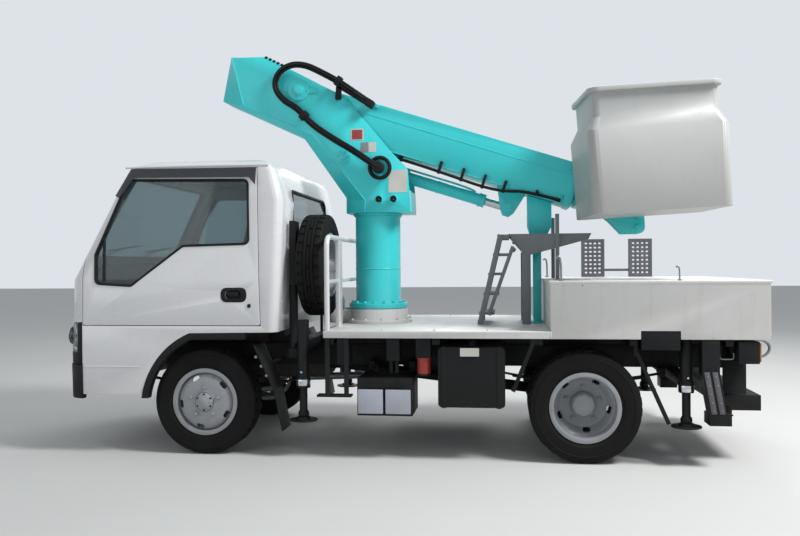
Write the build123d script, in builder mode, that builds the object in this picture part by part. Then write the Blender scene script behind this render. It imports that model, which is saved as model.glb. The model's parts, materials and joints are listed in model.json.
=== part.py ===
# Light truck with a turntable, a telescopic boom and a work bucket
# Front of the truck faces -X, up is +Z, the kerb side is -Y, origin on the ground under the middle
# Sizes in millimetres
from math import atan2, cos, degrees, hypot, radians, sin
import os

from build123d import *

os.makedirs("parts", exist_ok=True)

# Driving dimensions of the truck
front_axle_x = -1305
wheelbase = 2490
rear_axle_x = front_axle_x + wheelbase
body_width = 1695
body_y = body_width / 2
# Limits of the cuts through the cab's sides
cut_inner_y = body_y - 147.5
cut_outer_y = body_y + 52.5
panel_gap = 5
fit_gap = 0.05
touch_gap = 0.4

# Wheels and tyres
tyre_radius = 352
tyre_width = 185
bead_radius = 206
front_track_y = 697
rear_outer_y = 724
rear_inner_y = 512
kingpin_y = 560
axle_z = tyre_radius
spindle_radius = 30

# Frame rails
rail_y = 350
rail_height = 150
rail_flange = 60
rail_thickness = 7
rail_top_z = 706
frame_front_x = -2130
frame_rear_x = 2230

# Cab shell
cab_wall = 46
cab_floor_z = 862
cab_sill_z = 822
cab_skirt_z = 402
nose_line_x = -2138
door_sill_z = 868
door_front_x = -2132
door_rear_x = -900
lamp_low_z = 684
lamp_top_z = 888
bumper_low_z = 372
bumper_top_z = 600
windscreen_glass = 6
glass_depth = 12

# Decks
deck_front_x = -479
deck_step_x = 974
deck_rear_x = 2282
deck_low_z = 788
deck_top_z = 834
rear_box_top_z = 1150
sheet = 8

# Turntable and boom, the boom's own line starts at its foot pin
slew_x = -247
column_radius = 167
column_low_z = 980
column_top_z = 1640
head_half_width = 200
head_plate = 18
boom_foot_x = -794
boom_foot_z = 2544
boom_angle = -18
boom_half_width = 165
boom_over_pin = 68
boom_under_pin = 236
outer_end = 2123
boom_wall = 8
middle_end = outer_end + 60
inner_end = middle_end + 60
lift_foot_x = -465
lift_foot_z = 2050
lift_eye_x = 715
lift_eye_z = 1668
barrel_radius = 44
rod_radius = 30
level_pin_x = 1632
level_pin_z = 1515
level_boss_radius = 47
swing_axis_x = 1625

# Bucket
bucket_length = 880
bucket_depth = 650
bucket_height = 795
bucket_wall = 14
bucket_centre_y = -476
bucket_yaw = 6
bucket_pitch = 3.3


# Plates, blocks and bars, each given by the limits of its own faces
def xz_plate(points, y_low, y_high, mode=Mode.ADD, rounding=0):
    with BuildSketch(Plane.XZ.offset(-y_high)) as face:
        with BuildLine():
            Polyline(*points, close=True)
        make_face()
        if rounding:
            fillet(face.vertices(), rounding)
    extrude(face.sketch, amount=y_high - y_low, mode=mode)


def yz_plate(points, x_low, x_high, mode=Mode.ADD, rounding=0):
    with BuildSketch(Plane.YZ.offset(x_low)) as face:
        with BuildLine():
            Polyline(*points, close=True)
        make_face()
        if rounding:
            fillet(face.vertices(), rounding)
    extrude(face.sketch, amount=x_high - x_low, mode=mode)


def block(x_low, x_high, y_low, y_high, z_low, z_high, mode=Mode.ADD):
    middle = ((x_low + x_high) / 2, (y_low + y_high) / 2, (z_low + z_high) / 2)
    with Locations(middle):
        Box(x_high - x_low, y_high - y_low, z_high - z_low, mode=mode)


def bar(start, end, radius, mode=Mode.ADD, bore=0):
    # Round bar or tube from one point to another
    run = Vector(*end) - Vector(*start)
    with BuildSketch(Plane(origin=start, z_dir=run)) as section:
        Circle(radius)
        if bore:
            Circle(bore, mode=Mode.SUBTRACT)
    extrude(section.sketch, amount=run.length, mode=mode)


def strut(start, end, width, depth, mode=Mode.ADD):
    # Flat or square bar between two points in a side view plane, width along Y
    run = Vector(*end) - Vector(*start)
    with BuildSketch(Plane(origin=start, x_dir=(0, 1, 0), z_dir=run)) as section:
        Rectangle(width, depth)
    extrude(section.sketch, amount=run.length, mode=mode)


def y_ring(x, z, radius, y_low, y_high, mode=Mode.ADD, bore=0):
    bar((x, y_low, z), (x, y_high, z), radius, mode, bore)


def save(part, name):
    part.label = name
    export_step(part, "parts/" + name + ".step")


# Cab body: level sections of the outer form
# z, front x, rear x, half width, front corner radius, rear corner radius
cab_sections = (
    (cab_skirt_z - 40, -2284, -800, body_y - 8, 150, 60),
    (lamp_low_z, -2288, -800, body_y, 150, 60),
    (1172, -2268, -772, body_y, 150, 60),
    (1341, -2175, -766, body_y - 8, 140, 60),
    (1690, -1988, -758, body_y - 28, 120, 60),
    (1890, -1881, -800, body_y - 42, 100, 60),
    (1936, -1838, -836, body_y - 56, 90, 55),
    (1966, -1745, -900, body_y - 110, 80, 50),
)
nose_bow = 26


def cab_form(inset):
    # Outer form of the cab, drawn in by the same amount all round
    with BuildPart() as form:
        faces = []
        last_z = cab_sections[-1][0]
        for z, front_x, rear_x, half, front_r, rear_r in cab_sections:
            level = z - inset if z == last_z else z
            front = front_x + inset
            rear = rear_x - inset
            side = half - inset
            with BuildSketch(Plane.XY.offset(level)) as section:
                with BuildLine():
                    ThreePointArc((front + nose_bow, -side), (front, 0), (front + nose_bow, side))
                    Polyline((front + nose_bow, side), (rear, side), (rear, -side), (front + nose_bow, -side))
                make_face()
                fillet(section.vertices().group_by(Axis.X)[0], max(front_r - inset, 20))
                fillet(section.vertices().group_by(Axis.X)[-1], max(rear_r - inset, 10))
            faces.append(section.sketch.face())
        loft(faces, ruled=True)
    return form.part


cab_outer = cab_form(0)
cab_inner = cab_form(cab_wall)
glass_outer = cab_form(glass_depth)
glass_inner = cab_form(glass_depth + windscreen_glass)

# Outlines seen from the side, x and z
door_outline = (
    (door_front_x, door_sill_z),
    (door_front_x, 1340),
    (-1831, 1907),
    (-928, 1907),
    (door_rear_x, door_sill_z),
)
window_outline = (
    (-2040, 1146),
    (-2043, 1340),
    (-1821, 1841),
    (-988, 1826),
    (-978, 1404),
    (-1429, 1394),
    (-1789, 1130),
)
window_rounding = 36
arch_front_x = -1722
arch_crown = (-1385, 816)
arch_through = (-1591, 669)
arch_rear = (-700, 824)
trim_band = 44
trim_rear_x = -1000

with BuildPart() as arch_block:
    with BuildSketch(Plane.XZ.offset(-cut_outer_y)) as arch_face:
        with BuildLine():
            ThreePointArc((arch_front_x, 381), arch_through, arch_crown)
            Polyline(arch_crown, arch_rear, (arch_rear[0], 300), (arch_front_x, 300), (arch_front_x, 381))
        make_face()
    extrude(amount=2 * cut_outer_y)

with BuildPart() as cabin_space:
    add(cab_inner)
    block(-2400, -600, -cut_outer_y, cut_outer_y, 0, cab_floor_z, Mode.SUBTRACT)

with BuildPart() as under_space:
    add(cab_inner)
    block(-2400, -600, -cut_outer_y, cut_outer_y, cab_sill_z, 2100, Mode.SUBTRACT)

with BuildPart() as cab_shell:
    add(cab_outer)
    add(cabin_space.part, mode=Mode.SUBTRACT)
    add(under_space.part, mode=Mode.SUBTRACT)
    add(arch_block.part, mode=Mode.SUBTRACT)
    # Front band below the windscreen's panel, left to the bumper, grille and lamps
    block(-2400, nose_line_x, -cut_outer_y, cut_outer_y, 300, lamp_top_z, Mode.SUBTRACT)
    block(nose_line_x - 1, -1600, -cut_outer_y, cut_outer_y, 300, cab_skirt_z, Mode.SUBTRACT)
    for side in (-1, 1):
        y_low, y_high = sorted((side * cut_inner_y, side * cut_outer_y))
        with BuildSketch(Plane.XZ.offset(-y_high)) as opening:
            with BuildLine():
                Polyline(*door_outline, close=True)
            make_face()
            offset(amount=panel_gap)
        extrude(opening.sketch, amount=y_high - y_low, mode=Mode.SUBTRACT)
    yz_plate(((-700, 1330), (-640, 1880), (640, 1880), (700, 1330)), -2400, -1700, Mode.SUBTRACT, 60)
    yz_plate(((-520, 1390), (-500, 1780), (500, 1780), (520, 1390)), -900, -700, Mode.SUBTRACT, 50)
    # Engine cover in the floor
    block(-1640, -912, -330, 330, cab_sill_z, 1010)
    block(-1620, -930, -310, 310, cab_sill_z - 10, 990, Mode.SUBTRACT)
save(cab_shell.part, "cab_shell")


# Cab doors, hinged at their front edges
def door_part(side):
    y_low, y_high = sorted((side * cut_inner_y, side * cut_outer_y))
    handle_low, handle_high = sorted((side * (body_y - 22), side * cut_outer_y))
    with BuildPart() as door:
        with BuildSketch(Plane.XZ.offset(-y_high)) as face:
            with BuildLine():
                Polyline(*door_outline, close=True)
            make_face()
            fillet(face.vertices().group_by(Axis.Y)[0], 14)
        extrude(amount=y_high - y_low)
        add(cab_outer, mode=Mode.INTERSECT)
        add(cab_inner, mode=Mode.SUBTRACT)
        xz_plate(window_outline, y_low, y_high, Mode.SUBTRACT, window_rounding)
        xz_plate(
            ((-1140, 1035), (-1140, 1100), (-1024, 1100), (-1024, 1035)),
            handle_low, handle_high, Mode.SUBTRACT, 30,
        )
    return door.part


def door_glass(side):
    y_low, y_high = sorted((side * cut_inner_y, side * cut_outer_y))
    with BuildPart() as glass:
        xz_plate(window_outline, y_low, y_high, Mode.ADD, window_rounding)
        add(glass_outer, mode=Mode.INTERSECT)
        add(glass_inner, mode=Mode.SUBTRACT)
    return glass.part


for side, name in ((-1, "left"), (1, "right")):
    save(door_part(side), "door_" + name)
    save(door_glass(side), "door_glass_" + name)

with BuildPart() as cab_glass:
    yz_plate(((-700, 1330), (-640, 1880), (640, 1880), (700, 1330)), -2400, -1700, Mode.ADD, 60)
    yz_plate(((-520, 1390), (-500, 1780), (500, 1780), (520, 1390)), -900, -700, Mode.ADD, 50)
    add(glass_outer, mode=Mode.INTERSECT)
    add(glass_inner, mode=Mode.SUBTRACT)
save(cab_glass.part, "cab_glass")

# Lamps, grille and bumper share the cab's front band
lamp_rear_x = -2178
lamp_inner_y = 520
front_core = cab_form(42)

with BuildPart() as headlamps:
    add(cab_outer)
    add(front_core, mode=Mode.SUBTRACT)
    block(lamp_rear_x, -600, -cut_outer_y, cut_outer_y, 300, 2100, Mode.SUBTRACT)
    block(-2400, -600, -cut_outer_y, cut_outer_y, 300, lamp_low_z, Mode.SUBTRACT)
    block(-2400, -600, -cut_outer_y, cut_outer_y, lamp_top_z - panel_gap, 2100, Mode.SUBTRACT)
    block(-2400, -600, -lamp_inner_y, lamp_inner_y, 300, 2100, Mode.SUBTRACT)
save(headlamps.part, "headlamps")

with BuildPart() as grille:
    add(cab_outer)
    add(front_core, mode=Mode.SUBTRACT)
    block(nose_line_x - panel_gap, -600, -cut_outer_y, cut_outer_y, 300, 2100, Mode.SUBTRACT)
    block(-2400, -600, -cut_outer_y, cut_outer_y, 300, bumper_top_z + panel_gap, Mode.SUBTRACT)
    block(-2400, -600, -cut_outer_y, cut_outer_y, lamp_top_z - panel_gap, 2100, Mode.SUBTRACT)
    for side in (-1, 1):
        y_low, y_high = sorted((side * lamp_inner_y, side * cut_outer_y))
        block(-2400, lamp_rear_x, y_low, y_high, lamp_low_z, 900, Mode.SUBTRACT)
    for level in (700, 752, 804):
        block(-2400, -2262, -440, 440, level, level + 34, Mode.SUBTRACT)

with BuildPart() as bumper:
    add(cab_form(-6))
    add(front_core, mode=Mode.SUBTRACT)
    block(nose_line_x, -600, -cut_outer_y, cut_outer_y, 300, 2100, Mode.SUBTRACT)
    block(-2400, -600, -cut_outer_y, cut_outer_y, 300, bumper_low_z, Mode.SUBTRACT)
    block(-2400, -600, -cut_outer_y, cut_outer_y, bumper_top_z, 2100, Mode.SUBTRACT)
    block(-2400, -2240, -300, 300, 430, 520, Mode.SUBTRACT)
save(Compound([grille.part, bumper.part]), "front_bumper")

# Black mouldings along the wheel arches
with BuildPart() as arch_trims:
    with BuildSketch(Plane.XZ.offset(-(body_y - 3))) as trim_face:
        with BuildLine():
            ThreePointArc((arch_front_x, 381), arch_through, arch_crown)
            Polyline(arch_crown, arch_rear, (arch_rear[0], 300), (arch_front_x, 300), (arch_front_x, 381))
        make_face()
        offset(amount=-trim_band, mode=Mode.SUBTRACT)
        with Locations((-1300, 340)):
            Rectangle(1400, 80, mode=Mode.SUBTRACT)
        with Locations((trim_rear_x + 200, 560)):
            Rectangle(400, 600, mode=Mode.SUBTRACT)
    extrude(amount=58)
    mirror(about=Plane.XZ)

# Inside the cab
with BuildPart() as dashboard:
    xz_plate(
        ((-2150, 1000), (-2130, 1200), (-2060, 1290), (-1880, 1180), (-1860, 1060), (-1960, 1000)),
        -690, 690, Mode.ADD, 20,
    )
    block(-2150, -2000, -690, 690, cab_floor_z, 1001)
    strut((-1960, 380, 1100), (-1745, 380, 1245), 60, 60)
steering_wheel_plane = Plane(origin=(-1735, 380, 1252), x_dir=(0, 1, 0), z_dir=(0.829, 0, 0.559))
steering_rim_radius = 185
with BuildPart() as steering_wheel:
    with BuildSketch(steering_wheel_plane) as spokes:
        Circle(56)
        with PolarLocations(steering_rim_radius / 2, 3, start_angle=90):
            Rectangle(steering_rim_radius - 4, 36)
    extrude(amount=16)
    with BuildSketch(Plane(origin=steering_wheel_plane.origin, x_dir=(0, 1, 0), z_dir=(0.559, 0, -0.829))) as rim:
        with Locations((steering_rim_radius, 10)):
            Circle(14)
    revolve(axis=Axis(steering_wheel_plane.origin, steering_wheel_plane.z_dir))
save(dashboard.part + steering_wheel.part, "dashboard")

# Seats: middle y, width
seat_places = ((-455, 470), (0, 400), (440, 470))
seat_base_top_z = 1040
with BuildPart() as seat_bases:
    for side in (-1, 1):
        y_low, y_high = sorted((side * 340, side * 660))
        block(-1560, -1080, y_low, y_high, cab_floor_z, seat_base_top_z)
with BuildPart() as cushions:
    for middle_y, width in seat_places:
        xz_plate(
            ((-1590, seat_base_top_z), (-1590, 1140), (-1080, 1120), (-1060, seat_base_top_z)),
            middle_y - width / 2, middle_y + width / 2, Mode.ADD, 24,
        )
with BuildPart() as seat_backs:
    for middle_y, width in seat_places:
        xz_plate(
            ((-1130, 1100), (-1010, 1640), (-920, 1640), (-960, 1100)),
            middle_y - width / 2, middle_y + width / 2, Mode.ADD, 26,
        )
    add(cushions.part, mode=Mode.SUBTRACT)
save(Compound([seat_bases.part, cushions.part, seat_backs.part]), "seats")

# Ladder frame with the deck's own bearers on it
bearer_height = deck_low_z - rail_top_z
rail_low_z = rail_top_z - rail_height
cross_members = (-2050, -480, 60, 640, 1560, 2180)
outrigger_places = (-440, 250, 900, 1480, 2050)
outrigger_half = 25
outrigger_rear_x = outrigger_places[-1] + outrigger_half
bearer_outer_y, bearer_inner_y = rail_y - 6, rail_y - 56
with BuildPart() as rails:
    for side in (-1, 1):
        y_low, y_high = sorted((side * rail_y, side * (rail_y - rail_flange)))
        block(frame_front_x, frame_rear_x, y_low, y_high, rail_low_z, rail_top_z)
        y_low, y_high = sorted((side * (rail_y - rail_thickness), side * (rail_y - rail_flange - 1)))
        block(
            frame_front_x, frame_rear_x, y_low, y_high,
            rail_low_z + rail_thickness, rail_top_z - rail_thickness, Mode.SUBTRACT,
        )
with BuildPart() as bearers:
    for side in (-1, 1):
        y_low, y_high = sorted((side * bearer_outer_y, side * bearer_inner_y))
        block(deck_front_x, deck_rear_x - 60, y_low, y_high, rail_top_z, deck_low_z)
with BuildPart() as cross_beams:
    half_span = rail_y - rail_thickness
    for x in cross_members:
        block(x - 35, x + 35, -half_span, half_span, rail_low_z + 20, rail_top_z - 20)
with BuildPart() as outriggers:
    # Outriggers that carry the deck's edges
    for x in outrigger_places:
        for side in (-1, 1):
            y_low, y_high = sorted((side * bearer_outer_y, side * (body_y - 30)))
            block(x - outrigger_half, x + outrigger_half, y_low, y_high, deck_low_z - 44, deck_low_z)
save(Compound([rails.part, bearers.part, cross_beams.part, outriggers.part]), "chassis_frame")

with BuildPart() as engine_block:
    xz_plate(
        ((-1760, 480), (-1760, 800), (-1606, 800), (-1606, 960), (-950, 960), (-920, 740), (-620, 640), (-620, 440), (-900, 440)),
        -190, 190,
    )
    block(-1600, -1020, -250, 250, 620, 900)
    chamfer(engine_block.edges().filter_by(Axis.X), 18)
save(engine_block.part, "engine_block")

# Beam axle in front, with kingpins at its ends
kingpin_radius = 16
spring_y = 378
spring_leaf = 9
with BuildPart() as front_axle:
    xz_plate(
        ((front_axle_x - 34, 296), (front_axle_x - 34, 364), (front_axle_x + 34, 364), (front_axle_x + 34, 296)),
        -470, 470, Mode.ADD, 8,
    )
    for side in (-1, 1):
        bar((front_axle_x, side * 450, 330), (front_axle_x, side * (kingpin_y - 30), axle_z), 28)
        bar((front_axle_x, side * kingpin_y, axle_z - 42), (front_axle_x, side * kingpin_y, axle_z + 42), 34)
        bar((front_axle_x, side * kingpin_y, axle_z - 92), (front_axle_x, side * kingpin_y, axle_z + 92), kingpin_radius)
save(front_axle.part, "front_axle")


# Leaf springs: axle x, lowest z, half length, leaves, z of the axle seat's foot
spring_rows = (
    (front_axle_x, 372, 560, 4, 364 + touch_gap),
    (rear_axle_x, 424, 540, 5, 414 + touch_gap),
)
spring_camber = 56
spring_half_width = 28
with BuildPart() as springs:
    for axle_x, low_z, half_length, leaves, foot_z in spring_rows:
        for side in (-1, 1):
            y_low = side * spring_y - spring_half_width
            y_high = side * spring_y + spring_half_width
            top = low_z + leaves * spring_leaf
            for leaf in range(leaves):
                share = 1 - 0.17 * (leaves - 1 - leaf)
                reach = half_length * share
                low = low_z + leaf * spring_leaf
                lift = spring_camber * share ** 2
                with BuildSketch(Plane.XZ.offset(-y_high)) as face:
                    with BuildLine():
                        upper = ThreePointArc(
                            (axle_x - reach, low + lift + spring_leaf), (axle_x, low + spring_leaf),
                            (axle_x + reach, low + lift + spring_leaf),
                        )
                        lower = ThreePointArc(
                            (axle_x - reach, low + lift), (axle_x, low), (axle_x + reach, low + lift),
                        )
                        Line(upper @ 0, lower @ 0)
                        Line(upper @ 1, lower @ 1)
                    make_face()
                extrude(face.sketch, amount=2 * spring_half_width)
            for end in (-1, 1):
                x = axle_x + end * half_length
                y_ring(x, top + spring_camber - spring_leaf, 22, y_low, y_high)
                block(x - 22, x + 22, y_low, y_high, top + spring_camber - spring_leaf, rail_low_z - touch_gap)
                hanger_y = sorted((side * (rail_y - 40), side * spring_y))
                block(x - 22, x + 22, *hanger_y, rail_low_z - 26, rail_low_z - touch_gap)
            block(axle_x - 44, axle_x + 44, y_low, y_high, foot_z, top + 10)
save(springs.part, "leaf_springs")

# Steering knuckles: fork, spindle, brake flange and steering arm, kingpin on the own origin
fork_inner = 47
fork_outer = 90
with BuildPart() as knuckle:
    for low, high in ((-fork_outer, -fork_inner), (fork_inner, fork_outer)):
        bar((0, 0, low), (0, 0, high), 32)
        block(-28, 28, -60, 0, low, high)
    bar((0, 0, -fork_outer), (0, 0, fork_outer), kingpin_radius + fit_gap, Mode.SUBTRACT)
    block(-28, 28, -62, -40, -fork_outer, fork_outer)
    bar((0, -50, 0), (0, -(front_track_y - kingpin_y) - 62, 0), spindle_radius)
    bar((0, -58, 0), (0, -74, 0), 54)
    bar((10, -48, -70), (165, 12, -56), 13)
knuckle_left = Pos(front_axle_x, -kingpin_y, axle_z) * knuckle.part
save(knuckle_left, "knuckle_left")
save(mirror(knuckle_left, about=Plane.XZ), "knuckle_right")

# Driven rear axle: beam tube and gear housing in one casting
rear_tube_radius = 52
rear_tube_end = 664
with BuildPart() as rear_axle:
    with BuildSketch(Plane.XY) as housing:
        with BuildLine():
            Polyline(
                (0, 0), (168, 0), (168, 50), (140, 110), (66, 190), (60, 420), (rear_tube_radius, 420),
                (rear_tube_radius, rear_tube_end), (0, rear_tube_end), close=True,
            )
        make_face()
    revolve(axis=Axis.Y)
    mirror(about=Plane.XZ)
    bar((-150, 0, 0), (-262, 0, 0), 60)
save(Pos(rear_axle_x, 0, axle_z) * rear_axle.part, "rear_axle")

with BuildPart() as propshaft:
    bar((-612, 0, 530), (rear_axle_x - 268, 0, axle_z), 38)
    bar((-614, 0, 530), (-570, 0, 525), 46)
save(propshaft.part, "propshaft")


# Tyre and rim sections, radius against the wheel's own axis
def tyre_face(middle):
    # Outline of one tyre, middle of its tread at this place along the axle
    with BuildSketch(Plane.XY) as face:
        with BuildLine():
            flank = 76
            low_wall = ThreePointArc((bead_radius + 20, middle - flank), (284, middle - tyre_width / 2), (338, middle - 84))
            Polyline(low_wall @ 1, (tyre_radius, middle - 66), (tyre_radius, middle + 66), (338, middle + 84))
            high_wall = ThreePointArc((338, middle + 84), (284, middle + tyre_width / 2), (bead_radius + 20, middle + flank))
            Polyline(
                high_wall @ 1, (bead_radius + 0.3, middle + flank), (bead_radius + 0.3, middle - flank), low_wall @ 0,
            )
        make_face()
    return face.sketch


def rim_barrel(middle):
    # Rolled rim with its two flanges
    outer = bead_radius
    with BuildSketch(Plane.XY) as face:
        with BuildLine():
            Polyline(
                (outer - 10, middle - 84), (outer + 17, middle - 84), (outer + 17, middle - 78),
                (outer, middle - 78), (outer, middle + 78), (outer + 17, middle + 78),
                (outer + 17, middle + 84), (outer - 10, middle + 84), close=True,
            )
        make_face()
    return face.sketch


rim_inner = bead_radius - 10
with BuildPart() as tyre_front:
    revolve(tyre_face(front_track_y), axis=Axis.Y)
tyre_front_right = Pos(front_axle_x, 0, axle_z) * tyre_front.part
save(tyre_front_right, "tyre_front_right")
save(mirror(tyre_front_right, about=Plane.XZ), "tyre_front_left")

# Front wheel: rim, convex disc with hand holes, hub with a domed cap, brake drum
hub_inner_y = kingpin_y + 80
with BuildPart() as rim_front:
    revolve(rim_barrel(front_track_y), axis=Axis.Y)
    with BuildSketch(Plane.XY) as disc:
        with BuildLine():
            Polyline(
                (rim_inner + 2, 716), (rim_inner + 2, 736), (178, 764), (150, 780), (118, 786), (70, 786),
                (56, 796), (40, 806), (0, 812), (0, 776), (0, 762), (spindle_radius + fit_gap, 762),
                (spindle_radius + fit_gap, hub_inner_y), (150, hub_inner_y), (158, hub_inner_y + 8),
                (158, 700), (62, 706), (62, 776), (116, 776), (144, 770), (168, 757), (rim_inner - 12, 728),
                (rim_inner - 8, 716), close=True,
            )
        make_face()
    revolve(axis=Axis.Y)
    with BuildSketch(Plane.XZ.offset(-850)) as holes:
        with PolarLocations(166, 5, start_angle=42):
            SlotOverall(56, 28, rotation=90)
    extrude(amount=130, mode=Mode.SUBTRACT)
rim_front_right = Pos(front_axle_x, 0, axle_z) * rim_front.part
save(rim_front_right, "rim_front_right")
save(mirror(rim_front_right, about=Plane.XZ), "rim_front_left")

# Rear twins: two tyres on two rims bolted back to back, hub and drum between them
with BuildPart() as tyres_rear:
    for middle in (rear_inner_y, rear_outer_y):
        revolve(tyre_face(middle), axis=Axis.Y)
tyres_rear_right = Pos(rear_axle_x, 0, axle_z) * tyres_rear.part
save(tyres_rear_right, "tyres_rear_right")
save(mirror(tyres_rear_right, about=Plane.XZ), "tyres_rear_left")

twin_joint_y = (rear_inner_y + rear_outer_y) / 2
hub_bore = rear_tube_radius + fit_gap
with BuildPart() as rims_rear:
    for middle, way in ((rear_inner_y, -1), (rear_outer_y, 1)):
        revolve(rim_barrel(middle), axis=Axis.Y)
        with BuildSketch(Plane.XY) as disc:
            with BuildLine():
                Polyline(
                    (90, twin_joint_y), (90, twin_joint_y + 12 * way), (128, twin_joint_y + 12 * way),
                    (150, twin_joint_y + 22 * way), (rim_inner - 16, twin_joint_y + 78 * way),
                    (rim_inner + 2, twin_joint_y + 92 * way), (rim_inner + 2, twin_joint_y + 72 * way),
                    (rim_inner - 8, twin_joint_y + 62 * way), (160, twin_joint_y + 14 * way),
                    (134, twin_joint_y), close=True,
                )
            make_face()
        revolve(disc.sketch, axis=Axis.Y)
    with BuildSketch(Plane.XY) as hub:
        with BuildLine():
            Polyline(
                (hub_bore, 480), (150, 480), (158, 490), (158, 590), (120, 600), (100, twin_joint_y - 12),
                (100, twin_joint_y + 12), (82, twin_joint_y + 14), (76, 690), (64, 706), (30, 716), (0, 718),
                (0, rear_tube_end + 8), (hub_bore, rear_tube_end + 8), close=True,
            )
        make_face()
    revolve(axis=Axis.Y)
    with BuildSketch(Plane.XZ.offset(-850)) as holes:
        with PolarLocations(164, 5, start_angle=-11):
            SlotOverall(50, 27, rotation=90)
    extrude(amount=420, mode=Mode.SUBTRACT)
rims_rear_right = Pos(rear_axle_x, 0, axle_z) * rims_rear.part
save(rims_rear_right, "rims_rear_right")
save(mirror(rims_rear_right, about=Plane.XZ), "rims_rear_left")

# Guards and flaps behind the front wheels, on brackets from the frame
with BuildPart() as mudguards:
    for side in (-1, 1):
        y = side * 715
        strut((-949, y, 735), (-816, y, 440), 220, 10)
        strut((-818, y, 446), (-764, y, 172), 200, 8)
        inner_y, outer_y = side * (rail_y + touch_gap), side * 640
        bar((-885, inner_y, 600), (-885, outer_y, 600), 12)
save(Compound([arch_trims.part, mudguards.part]), "front_mudguards")

# Spare wheel behind the cab, axle along the truck
spare_x = -595
spare_y = -430
spare_z = 1262
with BuildPart() as spare_wheel:
    revolve(tyre_face(0), axis=Axis.Y)
    revolve(rim_barrel(0), axis=Axis.Y)
    with BuildSketch(Plane.XY) as disc:
        with BuildLine():
            Polyline(
                (60, 20), (60, 30), (118, 30), (150, 24), (rim_inner + 2, -16), (rim_inner + 2, -30),
                (rim_inner - 6, -30), (144, 14), (116, 20), close=True,
            )
        make_face()
    revolve(axis=Axis.Y)
save(Pos(spare_x, spare_y, spare_z) * Rot(0, 0, 90) * spare_wheel.part, "spare_wheel")

# Hoop of round tube at the deck's front edge, with the carrier of the spare wheel
hoop_x = -458
hoop_y = body_y - 29.5
hoop_top_z = 1462
hoop_radius = 17
with BuildPart() as guard_hoop:
    with BuildLine(Plane.YZ.offset(hoop_x)) as hoop_path:
        FilletPolyline(
            (-hoop_y, deck_top_z), (-hoop_y, hoop_top_z - hoop_radius), (hoop_y, hoop_top_z - hoop_radius),
            (hoop_y, deck_top_z), radius=70,
        )
    with BuildSketch(Plane(origin=hoop_path.line @ 0, z_dir=hoop_path.line % 0)):
        Circle(hoop_radius)
    sweep(path=hoop_path.line)
    block(hoop_x - 10, hoop_x + 10, -hoop_y, hoop_y, 1140, 1164)
    block(hoop_x - 12, hoop_x + 12, spare_y - 60, spare_y + 60, deck_top_z, hoop_top_z - hoop_radius)
    bar((hoop_x, spare_y, spare_z), (spare_x - 45, spare_y, spare_z), 56)
save(guard_hoop.part, "guard_hoop")

# Intake duct between the cab and the spare wheel
with BuildPart() as intake:
    xz_plate(((-742, 1130), (-742, 1560), (-700, 1560), (-694, 1130)), -690, -590, Mode.ADD, 8)
    bar((-728, -640, 700), (-728, -640, 1132), 29)
    block(-752, -694, -690, -rail_y - touch_gap, 640, 700)
save(intake.part, "air_intake")

# Low front deck: floor sheet on an edge frame
deck_edge = 34
deck_end_x = deck_step_x - touch_gap
sheet_low_z = deck_top_z - sheet
with BuildPart() as deck_sheet:
    block(deck_front_x, deck_end_x, -body_y, body_y, sheet_low_z, deck_top_z)
with BuildPart() as deck_sides:
    for side in (-1, 1):
        y_low, y_high = sorted((side * body_y, side * (body_y - deck_edge)))
        block(deck_front_x, deck_end_x, y_low, y_high, deck_low_z, sheet_low_z)
with BuildPart() as deck_beams:
    inner_y = body_y - deck_edge
    for x_low, x_high in ((deck_front_x, deck_front_x + deck_edge), (225, 275), (575, 625), (deck_end_x - deck_edge, deck_end_x)):
        block(x_low, x_high, -inner_y, inner_y, deck_low_z, sheet_low_z)
    block(slew_x - 190, slew_x + 240, -rail_y, rail_y, deck_low_z, sheet_low_z)
save(Compound([deck_sheet.part, deck_sides.part, deck_beams.part]), "front_deck")

# Raised rear deck: a sheet box, open below, with a rolled lip and a recess in each side
recess_low_z = 840
with BuildPart() as rear_box:
    block(deck_step_x, deck_rear_x, -body_y, body_y, deck_low_z, rear_box_top_z)
    block(
        deck_step_x + sheet, deck_rear_x - sheet, -body_y + sheet, body_y - sheet,
        deck_low_z, rear_box_top_z - sheet, Mode.SUBTRACT,
    )
    block(deck_step_x - 9, deck_rear_x + 9, -body_y - 6, body_y + 6, rear_box_top_z - 16, rear_box_top_z)
    block(1519, 1756, -cut_outer_y, cut_outer_y, deck_low_z - 1, recess_low_z, Mode.SUBTRACT)
    for x in (1150, 1500, 1950):
        block(x - 20, x + 20, -body_y + sheet, body_y - sheet, rear_box_top_z - 60, rear_box_top_z - sheet)
    for side in (-1, 1):
        y_low, y_high = sorted((side * (rail_y - 6), side * (rail_y - 56)))
        block(deck_step_x + sheet, deck_rear_x - sheet, y_low, y_high, deck_low_z, rear_box_top_z - sheet)
save(rear_box.part, "rear_box")

with BuildPart() as recesses:
    for side in (-1, 1):
        y_low, y_high = sorted((side * 640, side * (body_y - 3)))
        block(1522, 1753, y_low, y_high, 722, recess_low_z)

# Boxes under the low deck on the kerb side, hung from the rail
under_deck_y = body_y - deck_edge - 1.5
with BuildPart() as oil_tank:
    block(263, 689, -under_deck_y - 10, -420, 346, 730)
    fillet(oil_tank.edges().filter_by(Axis.Y), 26)
    for x in (300, 650):
        block(x - 14, x + 14, -under_deck_y - 14, -416, 342, 734)
    block(300, 520, -420, -rail_y - touch_gap, 600, 660)
    bar((476, -700, 725), (476, -700, 762), 30)

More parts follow.
